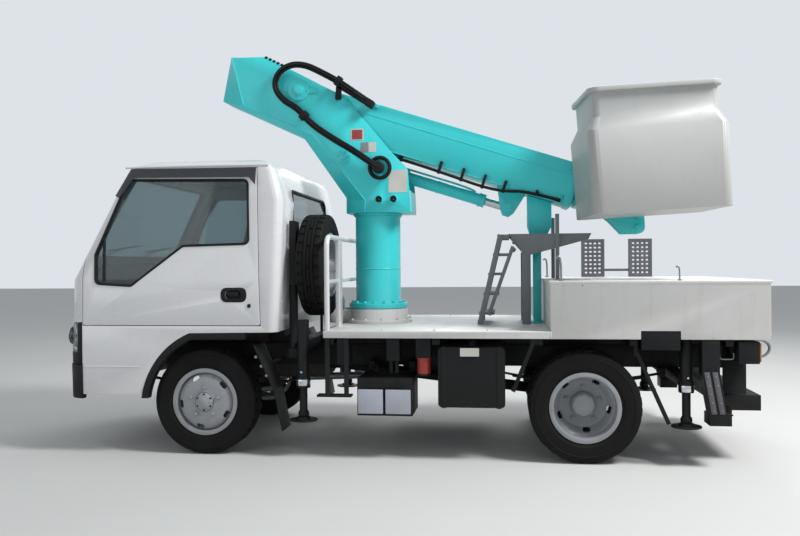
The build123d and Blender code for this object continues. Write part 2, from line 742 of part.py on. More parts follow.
with BuildPart() as battery_box:
    block(-263, 96, -under_deck_y, -480, 284, 528)
    block(-255, 88, -under_deck_y - 18, -under_deck_y, 300, 457)
    block(-92, -76, -under_deck_y - 19, -under_deck_y + 1, 299, 458, Mode.SUBTRACT)
with BuildPart() as battery_arms:
    for x in (-220, 60):
        block(x - 20, x + 20, -480, -rail_y - touch_gap, 500, 600)
        block(x - 20, x + 20, -500, -480, 528, 600)
save(Compound([battery_box.part, battery_arms.part]), "battery_box")

with BuildPart() as valves:
    block(-395, -315, -under_deck_y, -under_deck_y + 112, 612, deck_top_z - sheet - touch_gap)
    block(-70, 14, -under_deck_y, -under_deck_y + 132, 640, deck_top_z - sheet - touch_gap)
    for x in (-370, -340, -45, -8):
        bar((x, -under_deck_y + 42, 560), (x, -under_deck_y + 42, 645), 14)
    bar((168, -under_deck_y + 52, 540), (168, -under_deck_y + 52, 660), 43)
    block(120, 216, -under_deck_y + 2, -under_deck_y + 112, 660, deck_top_z - sheet - touch_gap)
save(valves.part, "hydraulic_valves")

# Fuel tank and silencer on the far side
with BuildPart() as fuel_tank:
    block(-120, 640, 420, body_y - 47.5, 370, 690)
    fillet(fuel_tank.edges().filter_by(Axis.X), 40)
    for x in (20, 500):
        block(x - 20, x + 20, rail_y + touch_gap, 424, 560, 660)
save(Compound([oil_tank.part, fuel_tank.part]), "tanks")

with BuildPart() as exhaust:
    bar((-860, 120, 400), (-860, 120, 440 - touch_gap), 28)
    bar((-870, 118, 400), (-420, 250, 400), 28)
    bar((-430, 235, 400), (-430, 500, 430), 28)
    bar((-430, 430, 440), (-430, body_y - 87.5, 440), 92)
    block(-450, -410, rail_y + touch_gap, 420, 500, 580)
    block(-450, -410, 400, 450, 500, 580)
save(exhaust.part, "exhaust")

# Jacks: x of the leg, top of its tube, z of the cross beam
jack_rows = ((-634, 900, rail_top_z + touch_gap), (1804, 1040, rail_low_z - 64 - touch_gap))
jack_y = body_y - 91.5
jack_tube_radius = 39
jack_leg_radius = 26
jack_tube_low_z = 452
jack_foot_z = 236
with BuildPart() as jack_tubes:
    for x, top_z, beam_z in jack_rows:
        block(x - 42, x + 42, -jack_y, jack_y, beam_z, beam_z + 64)
        for side in (-1, 1):
            bar((x, side * jack_y, jack_tube_low_z), (x, side * jack_y, top_z), jack_tube_radius)
            bar((x, side * jack_y, jack_tube_low_z), (x, side * jack_y, jack_tube_low_z + 70), jack_tube_radius + 7)
            bar(
                (x, side * jack_y, jack_tube_low_z), (x, side * jack_y, top_z - 12),
                jack_leg_radius + fit_gap, Mode.SUBTRACT,
            )
save(jack_tubes.part, "jack_tubes")

for x, top_z, beam_z in jack_rows:
    for side, side_name in ((-1, "left"), (1, "right")):
        end_name = "front" if x < 0 else "rear"
        with BuildPart() as leg:
            bar((x, side * jack_y, jack_foot_z + 30), (x, side * jack_y, top_z - 20), jack_leg_radius)
            with Locations((x, side * jack_y, jack_foot_z + 44)):
                Sphere(36)
            bar((x, side * jack_y, jack_foot_z), (x, side * jack_y, jack_foot_z + 9), 92)
            bar((x, side * jack_y, jack_foot_z + 9), (x, side * jack_y, jack_foot_z + 24), 46)
        save(leg.part, "jack_leg_" + end_name + "_" + side_name)

# Steps and stays below the decks
with BuildPart() as steps:
    for side in (-1, 1):
        y = side * (body_y - 47.5)
        edge_y = side * (body_y - deck_edge / 2)
        strut((-526, y + 4 * side, 411), (-300, y + 4 * side, 411), 72, 14)
        for x in (-455, -330):
            strut((x, edge_y, 411), (x, edge_y, deck_low_z - touch_gap), 12, 30)
        strut((868, edge_y, deck_low_z - 18), (737, edge_y, 454), 10, 26)
        block(846, 890, *sorted((edge_y - 5, edge_y + 5)), deck_low_z - 30, deck_low_z - touch_gap)
        strut((1500, y, 700), (1690, y, 262), 30, 24)
        block(1480, 1505, *sorted((y - 15, y + 15)), 680, deck_low_z - 44 - touch_gap)
save(Compound([recesses.part, steps.part]), "side_stays")

# Rear end: under-run box, hangers, perforated step strip and box step
with BuildPart() as rear_steps:
    block(2070, deck_rear_x, -640, 640, 325, 421)
    for side in (-1, 1):
        y_low, y_high = sorted((side * 560, side * 540))
        block(outrigger_rear_x + touch_gap, 2217, y_low, y_high, 421, deck_low_z - touch_gap)
        y = side * (body_y - 47.5)
        edge_y = side * (body_y - 2.5)
        strut((1930, y, 592), (1976, y, 330), 90, 104)
        block(1880, 1984, *sorted((edge_y - 90 * side, edge_y)), 560, deck_low_z - touch_gap)
        block(1923, 2052, *sorted((edge_y - 145 * side, edge_y)), 262, 332)
        block(2052, 2075, *sorted((side * 620, edge_y - 85 * side)), 325, 360)
        block(2040, 2060, *sorted((side * 620, edge_y)), 325, 332)
save(rear_steps.part, "rear_steps")

with BuildPart() as rear_lamps:
    for side in (-1, 1):
        y_low, y_high = sorted((side * 560, side * (body_y - 12.5)))
        block(2095, 2217, y_low, y_high, 640, 776)
        block(2217, 2232, y_low, y_high, 650, 768)
        block(outrigger_rear_x + touch_gap, 2100, y_low + 40, y_high - 40, 700, 770)
save(rear_lamps.part, "rear_lamps")

# Slewing base: cast ring and swing motor on the low deck
base_top_z = 938
base_radius = 218
spigot_radius = 110
with BuildPart() as slewing_base:
    bar((slew_x, 0, deck_top_z), (slew_x, 0, base_top_z), base_radius)
    bar((slew_x, 0, deck_top_z), (slew_x, 0, deck_top_z + 24), base_radius + 34)
    block(-560, slew_x, -105, 105, deck_top_z + touch_gap, base_top_z - 14)
    bar((-560, 0, deck_top_z + touch_gap), (-560, 0, base_top_z - 14), 105)
    bar((-560, 0, base_top_z - 20), (-560, 0, 1010), 56)
    bar((slew_x, 0, deck_top_z + 30), (slew_x, 0, base_top_z), spigot_radius + fit_gap, Mode.SUBTRACT)
save(slewing_base.part, "slewing_base")

with BuildPart() as column:
    bar((slew_x, 0, column_low_z), (slew_x, 0, column_top_z), column_radius)
    bar((slew_x, 0, base_top_z + 4), (slew_x, 0, column_low_z), base_radius)
    bar((slew_x, 0, deck_top_z + 36), (slew_x, 0, base_top_z + 4), spigot_radius)
    bar((slew_x, 0, column_top_z - 18), (slew_x, 0, column_top_z), column_radius + 14)
    chamfer(column.edges().filter_by(GeomType.CIRCLE).group_by(Axis.Z)[-1], 3)

# Turret head: two side plates joined by a bevelled nose and underside, open above and behind
# Corners as x, z: on the middle of the nose, then the same corner on the side plate
head_corners = (
    (-1338, 2832, -1301, 2800),
    (-1405, 2500, -1219, 2449),
    (-785, 2210, -692, 2212),
    (-465, column_top_z + 115, -310, column_top_z + 90),
    (-465, column_top_z, -314, column_top_z),
    (20, column_top_z, 20, column_top_z),
    (19, column_top_z + 85, 19, column_top_z + 85),
    (2, 1948, 2, 1948),
    (-121, 2081, -121, 2081),
    (-452, 2481, -452, 2481),
    (-1041, 2797, -1041, 2797),
)
head_core_corners = (
    (-1316, 2812, -1281, 2780),
    (-1384, 2512, -1200, 2466),
    (-776, 2228, -680, 2230),
    (-447, column_top_z + 122, -293, column_top_z + 96),
    (-447, column_top_z + head_plate, -294, column_top_z + head_plate),
    (2, column_top_z + head_plate, 2, column_top_z + head_plate),
    (1, column_top_z + 160, 1, column_top_z + 160),
    (90, column_top_z + 160, 90, column_top_z + 160),
    (90, 2081, 90, 2081),
    (-400, 2900, -400, 2900),
    (-1046, 2776, -1046, 2776),
)
bevel_y = 104
bevel_core_y = 96


def head_form(corners, half_width, flat_half):
    with BuildPart() as form:
        wide = [(x, z) for x, z, plate_x, plate_z in corners]
        narrow = [(plate_x, plate_z) for x, z, plate_x, plate_z in corners]
        xz_plate(wide, -flat_half, flat_half)
        for side in (-1, 1):
            faces = []
            for y, points in ((side * flat_half, wide), (side * half_width, narrow)):
                with BuildSketch(Plane.XZ.offset(-y)) as section:
                    with BuildLine():
                        Polyline(*points, close=True)
                    make_face()
                faces.append(section.sketch.face())
            loft(faces, ruled=True)
    return form.part


head_core = head_form(head_core_corners, head_half_width - head_plate, bevel_core_y)
foot_pin_radius = 40
lift_pin_radius = 28
eye_half = 50
with BuildPart() as turret_head:
    add(head_form(head_corners, head_half_width, bevel_y))
    add(head_core, mode=Mode.SUBTRACT)
    add(column.part)
    for side in (-1, 1):
        inner_y, outer_y = side * 171, side * (head_half_width + 12)
        bar((boom_foot_x, inner_y, boom_foot_z), (boom_foot_x, outer_y, boom_foot_z), 78)
        inner_y = side * (eye_half + 8)
        bar((lift_foot_x, inner_y, lift_foot_z), (lift_foot_x, outer_y, lift_foot_z), 56)
    y_ring(boom_foot_x, boom_foot_z, foot_pin_radius, -head_half_width - 22, head_half_width + 22)
    y_ring(lift_foot_x, lift_foot_z, lift_pin_radius, -head_half_width - 20, head_half_width + 20)
    # Ring round the hose opening and two lock pins on the kerb side plate
    y_ring(-198, 1960, 87, -head_half_width - 16, -head_half_width + 2, Mode.ADD, 62)
    for x in (-204, -98):
        y_ring(x, 1733, 25, -head_half_width - 30, -head_half_width + 2)
save(turret_head.part, "turret_head")

# Boom sections, drawn along the boom from its foot pin: distance along, height
boom_plane = Plane(
    origin=(boom_foot_x, 0, boom_foot_z),
    x_dir=(cos(radians(boom_angle)), 0, sin(radians(boom_angle))),
    z_dir=(0, -1, 0),
)


def boom_plate(points, y_low, y_high, mode=Mode.ADD):
    with BuildSketch(boom_plane.offset(-y_high)) as face:
        with BuildLine():
            Polyline(*points, close=True)
        make_face()
    extrude(face.sketch, amount=y_high - y_low, mode=mode)


def boom_box(start, end, low, high, half, mode=Mode.ADD):
    boom_plate(((start, low), (start, high), (end, high), (end, low)), -half, half, mode)


def boom_point(along, height, y=0):
    return boom_plane.from_local_coords((along, height, -y))


def boom_ring(along, height, radius, y_low, y_high, mode=Mode.ADD):
    bar(boom_point(along, height, y_low), boom_point(along, height, y_high), radius, mode)


lift_eye_local = boom_plane.to_local_coords(Vector(lift_eye_x, 0, lift_eye_z))
lug_along, lug_height = lift_eye_local.X, lift_eye_local.Y
lug_gap = 6
rod_eye_half = 40
tail_radius = boom_under_pin
collar = 6
with BuildPart() as boom_outer:
    with BuildSketch(boom_plane.offset(-boom_half_width)) as side_form:
        with BuildLine():
            tail_low = (0, -tail_radius)
            tail_turn = (-tail_radius * sin(radians(45)), -tail_radius * cos(radians(45)))
            ThreePointArc(tail_low, tail_turn, (-tail_radius, 0))
            Polyline(
                (-tail_radius, 0), (-tail_radius + 16, boom_over_pin), (outer_end, boom_over_pin),
                (outer_end, -boom_under_pin), tail_low,
            )
        make_face()
    extrude(amount=2 * boom_half_width)
    boom_box(outer_end - 42, outer_end, -boom_under_pin - collar, boom_over_pin + collar, boom_half_width + collar)
    boom_box(
        -120, outer_end + 1, -boom_under_pin + boom_wall, boom_over_pin - boom_wall,
        boom_half_width - boom_wall, Mode.SUBTRACT,
    )
    boom_ring(0, 0, foot_pin_radius + 22, -boom_half_width, boom_half_width)
    boom_ring(0, 0, foot_pin_radius + fit_gap, -boom_half_width - 1, boom_half_width + 1, Mode.SUBTRACT)

# Lugs for the lift cylinder's rod eye, welded under the boom
lug_low = lug_height - 58
with BuildPart() as boom_lugs:
    for side in (-1, 1):
        y_low, y_high = sorted((side * (rod_eye_half + lug_gap), side * (rod_eye_half + lug_gap + 16)))
        boom_plate(
            (
                (lug_along - 120, -boom_under_pin), (lug_along - 52, lug_height - 20), (lug_along - 24, lug_low),
                (lug_along + 24, lug_low), (lug_along + 52, lug_height - 20), (lug_along + 92, -boom_under_pin),
            ),
            y_low, y_high,
        )
        pin_low, pin_high = sorted((side * (rod_eye_half + lug_gap + 15), side * (rod_eye_half + lug_gap + 28)))
        boom_ring(lug_along, lug_height, 34, pin_low, pin_high)
save(Compound([boom_outer.part, boom_lugs.part]), "boom_outer")

section_middle = (boom_over_pin - boom_under_pin) / 2
middle_half, middle_rise = 145, 125
inner_half, inner_rise = 124, 102
section_wall = 7
with BuildPart() as boom_middle:
    low, high = section_middle - middle_rise, section_middle + middle_rise
    boom_box(150, middle_end, low, high, middle_half)
    boom_box(middle_end - 36, middle_end, low - 8, high + 8, middle_half + 8)
    boom_box(140, middle_end + 1, low + section_wall, high - section_wall, middle_half - section_wall, Mode.SUBTRACT)
save(boom_middle.part, "boom_middle")

level_pin_radius = 22
tip_plate_y = (52, 70)
with BuildPart() as boom_inner:
    low, high = section_middle - inner_rise, section_middle + inner_rise
    boom_box(210, inner_end, low, high, inner_half)
    boom_box(200, inner_end - 10, low + section_wall, high - section_wall, inner_half - section_wall, Mode.SUBTRACT)
    for side in (-1, 1):
        y_low, y_high = sorted((side * tip_plate_y[0], side * tip_plate_y[1]))
        face_low = boom_point(inner_end - 2, low + 4)
        face_high = boom_point(inner_end - 2, low + 104)
        xz_plate(
            (
                (face_low.X, face_low.Z), (1432, 1562), (1520, level_pin_z - level_boss_radius),
                (level_pin_x, level_pin_z - level_boss_radius), (level_pin_x + 8, level_pin_z + level_boss_radius - 1),
                (face_high.X, face_high.Z),
            ),
            y_low, y_high,
        )
        y_ring(level_pin_x, level_pin_z, level_boss_radius, y_low, y_high)
    y_ring(level_pin_x, level_pin_z, level_pin_radius, -tip_plate_y[1] - 12, tip_plate_y[1] + 12)
save(boom_inner.part, "boom_inner")

# Lift cylinder, drawn along its own line from the foot pin
lift_run = hypot(lift_eye_x - lift_foot_x, lift_eye_z - lift_foot_z)
lift_angle = degrees(atan2(lift_eye_z - lift_foot_z, lift_eye_x - lift_foot_x))
lift_line = Vector(cos(radians(lift_angle)), 0, sin(radians(lift_angle)))
lift_foot = Vector(lift_foot_x, 0, lift_foot_z)
barrel_end = 1066
with BuildPart() as lift_barrel:
    y_ring(lift_foot_x, lift_foot_z, 52, -eye_half, eye_half)
    bar(lift_foot + lift_line * 30, lift_foot + lift_line * barrel_end, barrel_radius)
    bar(lift_foot + lift_line * (barrel_end - 44), lift_foot + lift_line * barrel_end, barrel_radius + 5)
    bar(lift_foot + lift_line * 62, lift_foot + lift_line * 110, barrel_radius + 5)
    bar(
        lift_foot + lift_line * 120, lift_foot + lift_line * (barrel_end + 1),
        rod_radius + fit_gap, Mode.SUBTRACT,
    )
    y_ring(lift_foot_x, lift_foot_z, lift_pin_radius + fit_gap, -eye_half - 1, eye_half + 1, Mode.SUBTRACT)
save(lift_barrel.part, "lift_barrel")

with BuildPart() as lift_rod:
    bar(lift_foot + lift_line * 128, lift_foot + lift_line * (lift_run - 20), rod_radius)
    y_ring(lift_eye_x, lift_eye_z, 46, -rod_eye_half, rod_eye_half)
    y_ring(lift_eye_x, lift_eye_z, 26, -rod_eye_half - 1, rod_eye_half + 1, Mode.SUBTRACT)
save(lift_rod.part, "lift_rod")

# Levelled end of the boom: yoke on the level pin, swing post, bucket mount and bucket
level_frame = Location((level_pin_x, 0, level_pin_z), (0, -bucket_pitch, 0))
post_radius = 34
post_x = swing_axis_x - level_pin_x
neck_half = tip_plate_y[0] - 6
housing_low = 112
housing_top = 132
ring_low = housing_top + 5
ring_top = 284
with BuildPart() as yoke:
    y_ring(0, 0, level_boss_radius - 3, -neck_half, neck_half)
    block(post_x - 44, post_x + 58, -neck_half, neck_half, 0, housing_low + 4)
    bar((post_x, 0, housing_low), (post_x, 0, housing_top), 72)
    bar((post_x, 0, housing_top - 1), (post_x, 0, ring_top + 5), post_radius)
    bar((post_x, 0, ring_top + 5), (post_x, 0, ring_top + 16), post_radius + 16)
    y_ring(0, 0, level_pin_radius + fit_gap, -neck_half - 1, neck_half + 1, Mode.SUBTRACT)
save(level_frame * yoke.part, "level_yoke")

# Bucket form by level sections: height, length, depth, corner radius
bucket_sections = (
    (0, bucket_length - 12, bucket_depth - 12, 66),
    (522, bucket_length, bucket_depth, 60),
    (616, bucket_length - 94, bucket_depth - 94, 46),
    (bucket_height, bucket_length - 90, bucket_depth - 90, 46),
)
rim_out = 27
rim_height = 30


def bucket_form(inset, floor):
    with BuildPart() as form:
        faces = []
        for height, length, depth, corner in bucket_sections:
            level = floor if height == 0 else height + (2 if inset and height == bucket_height else 0)
            with BuildSketch(Plane.XY.offset(level)) as section:
                RectangleRounded(length - 2 * inset, depth - 2 * inset, corner - inset)
            faces.append(section.sketch.face())
        loft(faces, ruled=True)
    return form.part


bucket_outer = bucket_form(0, 0)
with BuildPart() as bucket:
    add(bucket_outer)
    with BuildSketch(Plane.XY.offset(bucket_height - rim_height)):
        RectangleRounded(bucket_length - 90 + 2 * rim_out, bucket_depth - 90 + 2 * rim_out, 46 + rim_out)
    extrude(amount=rim_height)
    add(bucket_form(bucket_wall, bucket_wall + 4), mode=Mode.SUBTRACT)
bucket_frame = Location((18, bucket_centre_y, 70), (0, 0, bucket_yaw))
save(level_frame * bucket_frame * bucket.part, "bucket")

with BuildPart() as bucket_mount:
    bar((post_x, 0, ring_low), (post_x, 0, ring_top), 62)
    block(post_x - 60, post_x + 60, -220, 0, ring_low + 10, ring_top - 14)
    block(post_x - 130, post_x + 130, -220, -120, ring_low + 6, ring_top - 6)
    add(bucket_frame * bucket_outer, mode=Mode.SUBTRACT)
    bar((post_x, 0, ring_low - 1), (post_x, 0, ring_top + 1), post_radius + fit_gap, Mode.SUBTRACT)
save(level_frame * bucket_mount.part, "bucket_mount")

# Boom rest: post through the platform and a sloped saddle under the boom
rest_x = (855, 1027)
rest_post_x = (895, 954)
rest_gap = 5


def boom_underside_z(x):
    # Height of the resting boom's lower face
    run = (x - boom_foot_x - boom_under_pin * sin(radians(boom_angle))) / cos(radians(boom_angle))
    return boom_foot_z + run * sin(radians(boom_angle)) - boom_under_pin * cos(radians(boom_angle))


platform_low_z, platform_top_z = 1317, 1470
saddle_low_z = platform_top_z + touch_gap
rest_foot_z = deck_top_z + 12
with BuildPart() as rest_foot:
    block(rest_post_x[0] - 20, rest_post_x[1] + 8, -90, 90, deck_top_z, rest_foot_z)
with BuildPart() as rest_post:
    block(*rest_post_x, -38, 38, rest_foot_z, saddle_low_z)
with BuildPart() as saddle:
    xz_plate(
        (
            (rest_x[0], boom_underside_z(rest_x[0]) - rest_gap), (rest_x[1], boom_underside_z(rest_x[1]) - rest_gap),
            (rest_x[1], platform_top_z + 60), (rest_x[1] - 30, saddle_low_z),
            (rest_x[0] + 20, saddle_low_z), (rest_x[0], platform_top_z + 60),
        ),
        -75, 75,
    )
save(Compound([rest_foot.part, rest_post.part, saddle.part]), "boom_rest")

platform_y = 235
with BuildPart() as platform:
    xz_plate(((715, 1470), (1290, 1470), (1269, 1429), (846, 1317)), -platform_y, platform_y)
    xz_plate(((770, 1452), (1240, 1452), (1225, 1436), (850, 1338)), -platform_y - 1, platform_y + 1, Mode.SUBTRACT)
    for side in (-1, 1):
        y_low, y_high = sorted((side * platform_y, side * (platform_y - 6)))
        xz_plate(((715, 1470), (1290, 1470), (1269, 1429), (846, 1317)), y_low, y_high)
        post_low, post_high = sorted((side * (platform_y - 6), side * (platform_y - 46)))
        block(812, 872, post_low, post_high, deck_top_z, 1345)
        block(1042, 1068, *sorted((side * platform_y, side * (platform_y + 26))), rear_box_top_z, 1606)
        for foot, top, width in (((516, 0, 846), (662, 0, 1466), 34), ((577, 0, 900), (749, 0, 1383), 26)):
            y = side * (platform_y + 18)
            strut((foot[0], y, foot[2]), (top[0], y, top[2]), 24, width)
    for share in (0.12, 0.34, 0.56, 0.78):
        x, z = 508 + 154 * share, 834 + 632 * share
        block(x - 20, x + 90, -platform_y - 8, platform_y + 8, z - 8, z + 8)
    block(640, 725, -platform_y - 20, platform_y + 20, 1440, 1466)
    for side in (-1, 1):
        block(500, 540, *sorted((side * (platform_y + 6), side * (platform_y + 30))), deck_top_z, 866)
    block(rest_post_x[0] - 5, rest_post_x[1] + 5, -43, 43, 1300, 1500, Mode.SUBTRACT)
save(platform.part, "access_platform")

# Two perforated racks on the rear deck's far edge, joined by a bar
rack_top_z = 1458
rack_y = (body_y - 77.5, body_y - 47.5)
with BuildPart() as racks:
    for x_low in (1315, 1691):
        block(x_low, x_low + 184, *rack_y, rear_box_top_z, rack_top_z)
        with BuildSketch(Plane.XZ.offset(-rack_y[1] - 1)) as holes:
            with Locations((x_low + 92, (rear_box_top_z + rack_top_z) / 2)):
                with GridLocations(36, 34, 4, 8):
                    SlotOverall(24, 14)
        extrude(holes.sketch, amount=rack_y[1] - rack_y[0] + 2, mode=Mode.SUBTRACT)
    block(1499, 1691, rack_y[0] + 8, rack_y[1] - 10, 1196, 1216)
save(racks.part, "rear_racks")


# Hoses: routes by hand, arcs as large as their runs allow
def bend_radii(route):
    radii = []
    for before, corner, after in zip(route, route[1:], route[2:]):
        run_in = Vector(*corner) - Vector(*before)
        run_out = Vector(*after) - Vector(*corner)
        half_turn = radians(run_in.get_angle(run_out)) / 2
        radii.append(0.45 * min(run_in.length, run_out.length) / (sin(half_turn) / cos(half_turn)))
    return radii


turret_hose_y = -246
turret_hose_radius = 22
turret_hose_route = (
    (-215, 1962), (-330, 2052), (-560, 2190), (-702, 2292), (-790, 2400), (-900, 2462), (-968, 2560),
    (-945, 2660), (-850, 2722), (-735, 2716), (-617, 2657), (-490, 2586), (-354, 2489),
)
turret_hose_end = (-270, -200, 2433)
plate_face_y = -head_half_width - touch_gap
with BuildPart() as turret_hoses:
    route = [(x, turret_hose_y, z) for x, z in turret_hose_route] + [turret_hose_end]
    radii = bend_radii(route)
    print("turret hose radii", [round(radius) for radius in radii])
    with BuildLine() as hose_path:
        FilletPolyline(*route, radius=radii)
    with BuildSketch(Plane(origin=hose_path.line @ 0, z_dir=hose_path.line % 0)):
        Circle(turret_hose_radius)
    sweep(path=hose_path.line)
    # Gland in the ring, peg on the plate, and the bracket that holds the loop up
    bar((-207, plate_face_y, 1961), (-207, turret_hose_y - 18, 1961), 42)
    bar((-746, plate_face_y, 2346), (-746, turret_hose_y, 2346), 18)
    strut((-500, plate_face_y - 7, 2470), (-490, plate_face_y - 7, 2604), 14, 40)
    bar((-490, plate_face_y - 7, 2586), (-490, turret_hose_y, 2586), 18)
save(turret_hoses.part, "turret_hoses")

# Hose along the boom's underside and kerb side: distance along the boom, height, y
boom_hose_route = (
    (600, -262, -128), (760, -262, -129), (900, -263, -130), (1040, -268, -179), (1270, -276, -180),
    (1500, -286, -179), (1660, -270, -179), (1790, -226, -179), (2010, -220, -180),
)
with BuildPart() as boom_pipes:
    route = [boom_point(along, height, y) for along, height, y in boom_hose_route]
    radii = bend_radii(route)
    print("boom hose radii", [round(radius) for radius in radii])
    with BuildLine() as hose_path:
        FilletPolyline(*route, radius=radii)
    with BuildSketch(Plane(origin=hose_path.line @ 0, z_dir=hose_path.line % 0)):
        Circle(11)
    sweep(path=hose_path.line)
    for along in (700, 860):
        boom_plate(
            (
                (along - 14, -boom_under_pin), (along + 14, -boom_under_pin),
                (along + 14, -boom_under_pin - 40), (along - 14, -boom_under_pin - 40),
            ),
            -144, -112,
        )
    for along, height in ((1160, -273), (1330, -279), (1490, -284), (1640, -270), (1870, -223)):
        boom_plate(
            (
                (along - 10, height - 15), (along - 10, -boom_under_pin + 40),
                (along + 10, -boom_under_pin + 40), (along + 10, height - 15),
            ),
            -194, -boom_half_width,
        )
save(boom_pipes.part, "boom_pipes")
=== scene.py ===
# Cherry picker truck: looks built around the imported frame, all in metres.
# The truck's front faces -X, its kerb side with the camera faces -Y.
import json
import math

import bpy
import bmesh
from mathutils import Matrix, Vector

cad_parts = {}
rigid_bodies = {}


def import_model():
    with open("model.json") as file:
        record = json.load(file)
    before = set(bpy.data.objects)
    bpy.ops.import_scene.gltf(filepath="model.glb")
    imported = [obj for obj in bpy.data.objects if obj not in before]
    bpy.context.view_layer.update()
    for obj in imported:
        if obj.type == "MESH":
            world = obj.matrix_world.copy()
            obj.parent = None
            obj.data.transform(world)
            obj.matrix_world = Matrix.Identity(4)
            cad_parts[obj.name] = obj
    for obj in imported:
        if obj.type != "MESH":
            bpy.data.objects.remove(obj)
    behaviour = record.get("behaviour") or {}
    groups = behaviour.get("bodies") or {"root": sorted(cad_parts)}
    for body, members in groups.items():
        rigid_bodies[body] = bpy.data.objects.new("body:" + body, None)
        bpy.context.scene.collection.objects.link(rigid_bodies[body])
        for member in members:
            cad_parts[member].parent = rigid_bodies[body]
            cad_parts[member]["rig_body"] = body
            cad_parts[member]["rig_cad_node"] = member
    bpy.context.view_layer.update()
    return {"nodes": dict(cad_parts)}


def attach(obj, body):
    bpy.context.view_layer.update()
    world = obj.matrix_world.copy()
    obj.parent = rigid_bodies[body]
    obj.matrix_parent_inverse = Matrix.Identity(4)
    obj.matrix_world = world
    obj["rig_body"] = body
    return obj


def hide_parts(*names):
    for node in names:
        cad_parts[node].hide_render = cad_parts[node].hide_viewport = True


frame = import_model()
nodes = frame["nodes"]
sides = ((-1, "left"), (1, "right"))


# Colours and shader nodes
def linearColour(hexText):
    # sRGB hex text to the linear values that the shaders want
    channels = []
    for i in (0, 2, 4):
        value = int(hexText[i:i + 2], 16) / 255
        channels.append(value / 12.92 if value <= 0.04045 else ((value + 0.055) / 1.055) ** 2.4)
    return (*channels, 1.0)


def feedNode(tree, node, inputs):
    # each input takes a value, a colour's hex text or another node's output
    for key, value in inputs.items():
        if isinstance(value, bpy.types.NodeSocket):
            tree.links.new(value, node.inputs[key])
        else:
            node.inputs[key].default_value = linearColour(value) if isinstance(value, str) else value
    return node


def addNode(tree, kind, inputs, **properties):
    # one shader node with its properties, values and incoming links
    node = tree.nodes.new(kind)
    for key, value in properties.items():
        setattr(node, key, value)
    return feedNode(tree, node, inputs)


def newMaterial(name):
    # the material's tree and shader, and the place on the piece that patterns read
    material = bpy.data.materials.new(name)
    material.use_nodes = True
    tree = material.node_tree
    place = addNode(tree, "ShaderNodeTexCoord", {}).outputs["Object"]
    return material, tree, tree.nodes["Principled BSDF"], place


def noiseAt(tree, vector, scale, detail=3.0, stretch=None):
    # noise at a real size, stretched along an axis where streaks are wanted
    if stretch:
        vector = addNode(tree, "ShaderNodeMapping", {"Vector": vector, "Scale": stretch}).outputs[0]
    noise = addNode(tree, "ShaderNodeTexNoise", {"Vector": vector, "Scale": scale, "Detail": detail})
    return noise.outputs["Fac"]


def bandOf(tree, socket, low, high, toLow=0.0, toHigh=1.0):
    return addNode(tree, "ShaderNodeMapRange", {0: socket, 1: low, 2: high, 3: toLow, 4: toHigh}).outputs[0]


def timesOf(tree, first, second):
    return addNode(tree, "ShaderNodeMath", {0: first, 1: second}, operation="MULTIPLY").outputs[0]


def mixColours(tree, factor, first, second):
    return addNode(tree, "ShaderNodeMix", {0: factor, 6: first, 7: second}, data_type="RGBA").outputs[2]


def addBump(tree, shader, height, strength, distance=0.001):
    # a second call carries on from the first one's normal
    inputs = {"Height": height, "Strength": strength, "Distance": distance}
    if shader.inputs["Normal"].is_linked:
        inputs["Normal"] = shader.inputs["Normal"].links[0].from_socket
    bump = addNode(tree, "ShaderNodeBump", inputs)
    tree.links.new(bump.outputs[0], shader.inputs["Normal"])


# Materials
def weatheredPaint(
    name, colours, dustBand, fade=0.8, dust=0.35, streak=0.2, chipFrom=0.74, rough=0.45, roughSpread=0.2,
    coat=0.0, peel=0.05, wave=0.05, glare=0.5,
):
    # Acrylic enamel over steel: gloss with faint orange peel, road dust low down, rain streaks and chips.
    # The colours are the paint's own, the faded one, the dust's, the streaks' and the chips'.
    own, faded, dusty, streaky, under = colours.split()
    material, tree, shader, place = newMaterial(name)
    height = addNode(tree, "ShaderNodeSeparateXYZ", {0: place}).outputs["Z"]
    bleached = bandOf(tree, noiseAt(tree, place, 1.7, 4.0), 0.35, 0.7)
    colour = mixColours(tree, timesOf(tree, bleached, fade), own, faded)
    low = bandOf(tree, height, *dustBand)
    cloud = bandOf(tree, noiseAt(tree, place, 9.0, 6.0), 0.3, 0.75)
    film = timesOf(tree, timesOf(tree, low, cloud), dust)
    colour = mixColours(tree, film, colour, dusty)
    runs = bandOf(tree, noiseAt(tree, place, 6.0, 5.0, (6.0, 6.0, 0.5)), 0.56, 0.8)
    colour = mixColours(tree, timesOf(tree, runs, streak), colour, streaky)
    chips = bandOf(tree, noiseAt(tree, place, 70.0, 4.0), chipFrom, chipFrom + 0.02)
    feedNode(tree, shader, {
        "Base Color": mixColours(tree, chips, colour, under),
        "Roughness": bandOf(tree, cloud, 0.0, 1.0, rough, rough + roughSpread),
        "Coat Weight": coat, "Coat Roughness": 0.08, "IOR": 1.5, "Specular IOR Level": glare,
    })
    addBump(tree, shader, noiseAt(tree, place, 330.0, 1.0), peel, 0.0006)  # 3 mm peel
    addBump(tree, shader, noiseAt(tree, place, 5.0, 1.0), wave, 0.004)
    return material


def bareMetal(name, colour, spotColour, spots, rough, metallic, grain=(1, 1, 1)):
    # Rolled or turned steel: fine lines one way, a few dull spots
    material, tree, shader, place = newMaterial(name)
    lines = noiseAt(tree, place, 60.0, 3.0, grain)
    dull = bandOf(tree, noiseAt(tree, place, 22.0, 5.0), 0.45, 0.7)
    feedNode(tree, shader, {
        "Base Color": mixColours(tree, timesOf(tree, dull, spots), colour, spotColour),
        "Roughness": bandOf(tree, lines, 0.2, 0.8, rough, rough + 0.15), "Metallic": metallic,
    })
    addBump(tree, shader, lines, 0.15, 0.0005)
    return material


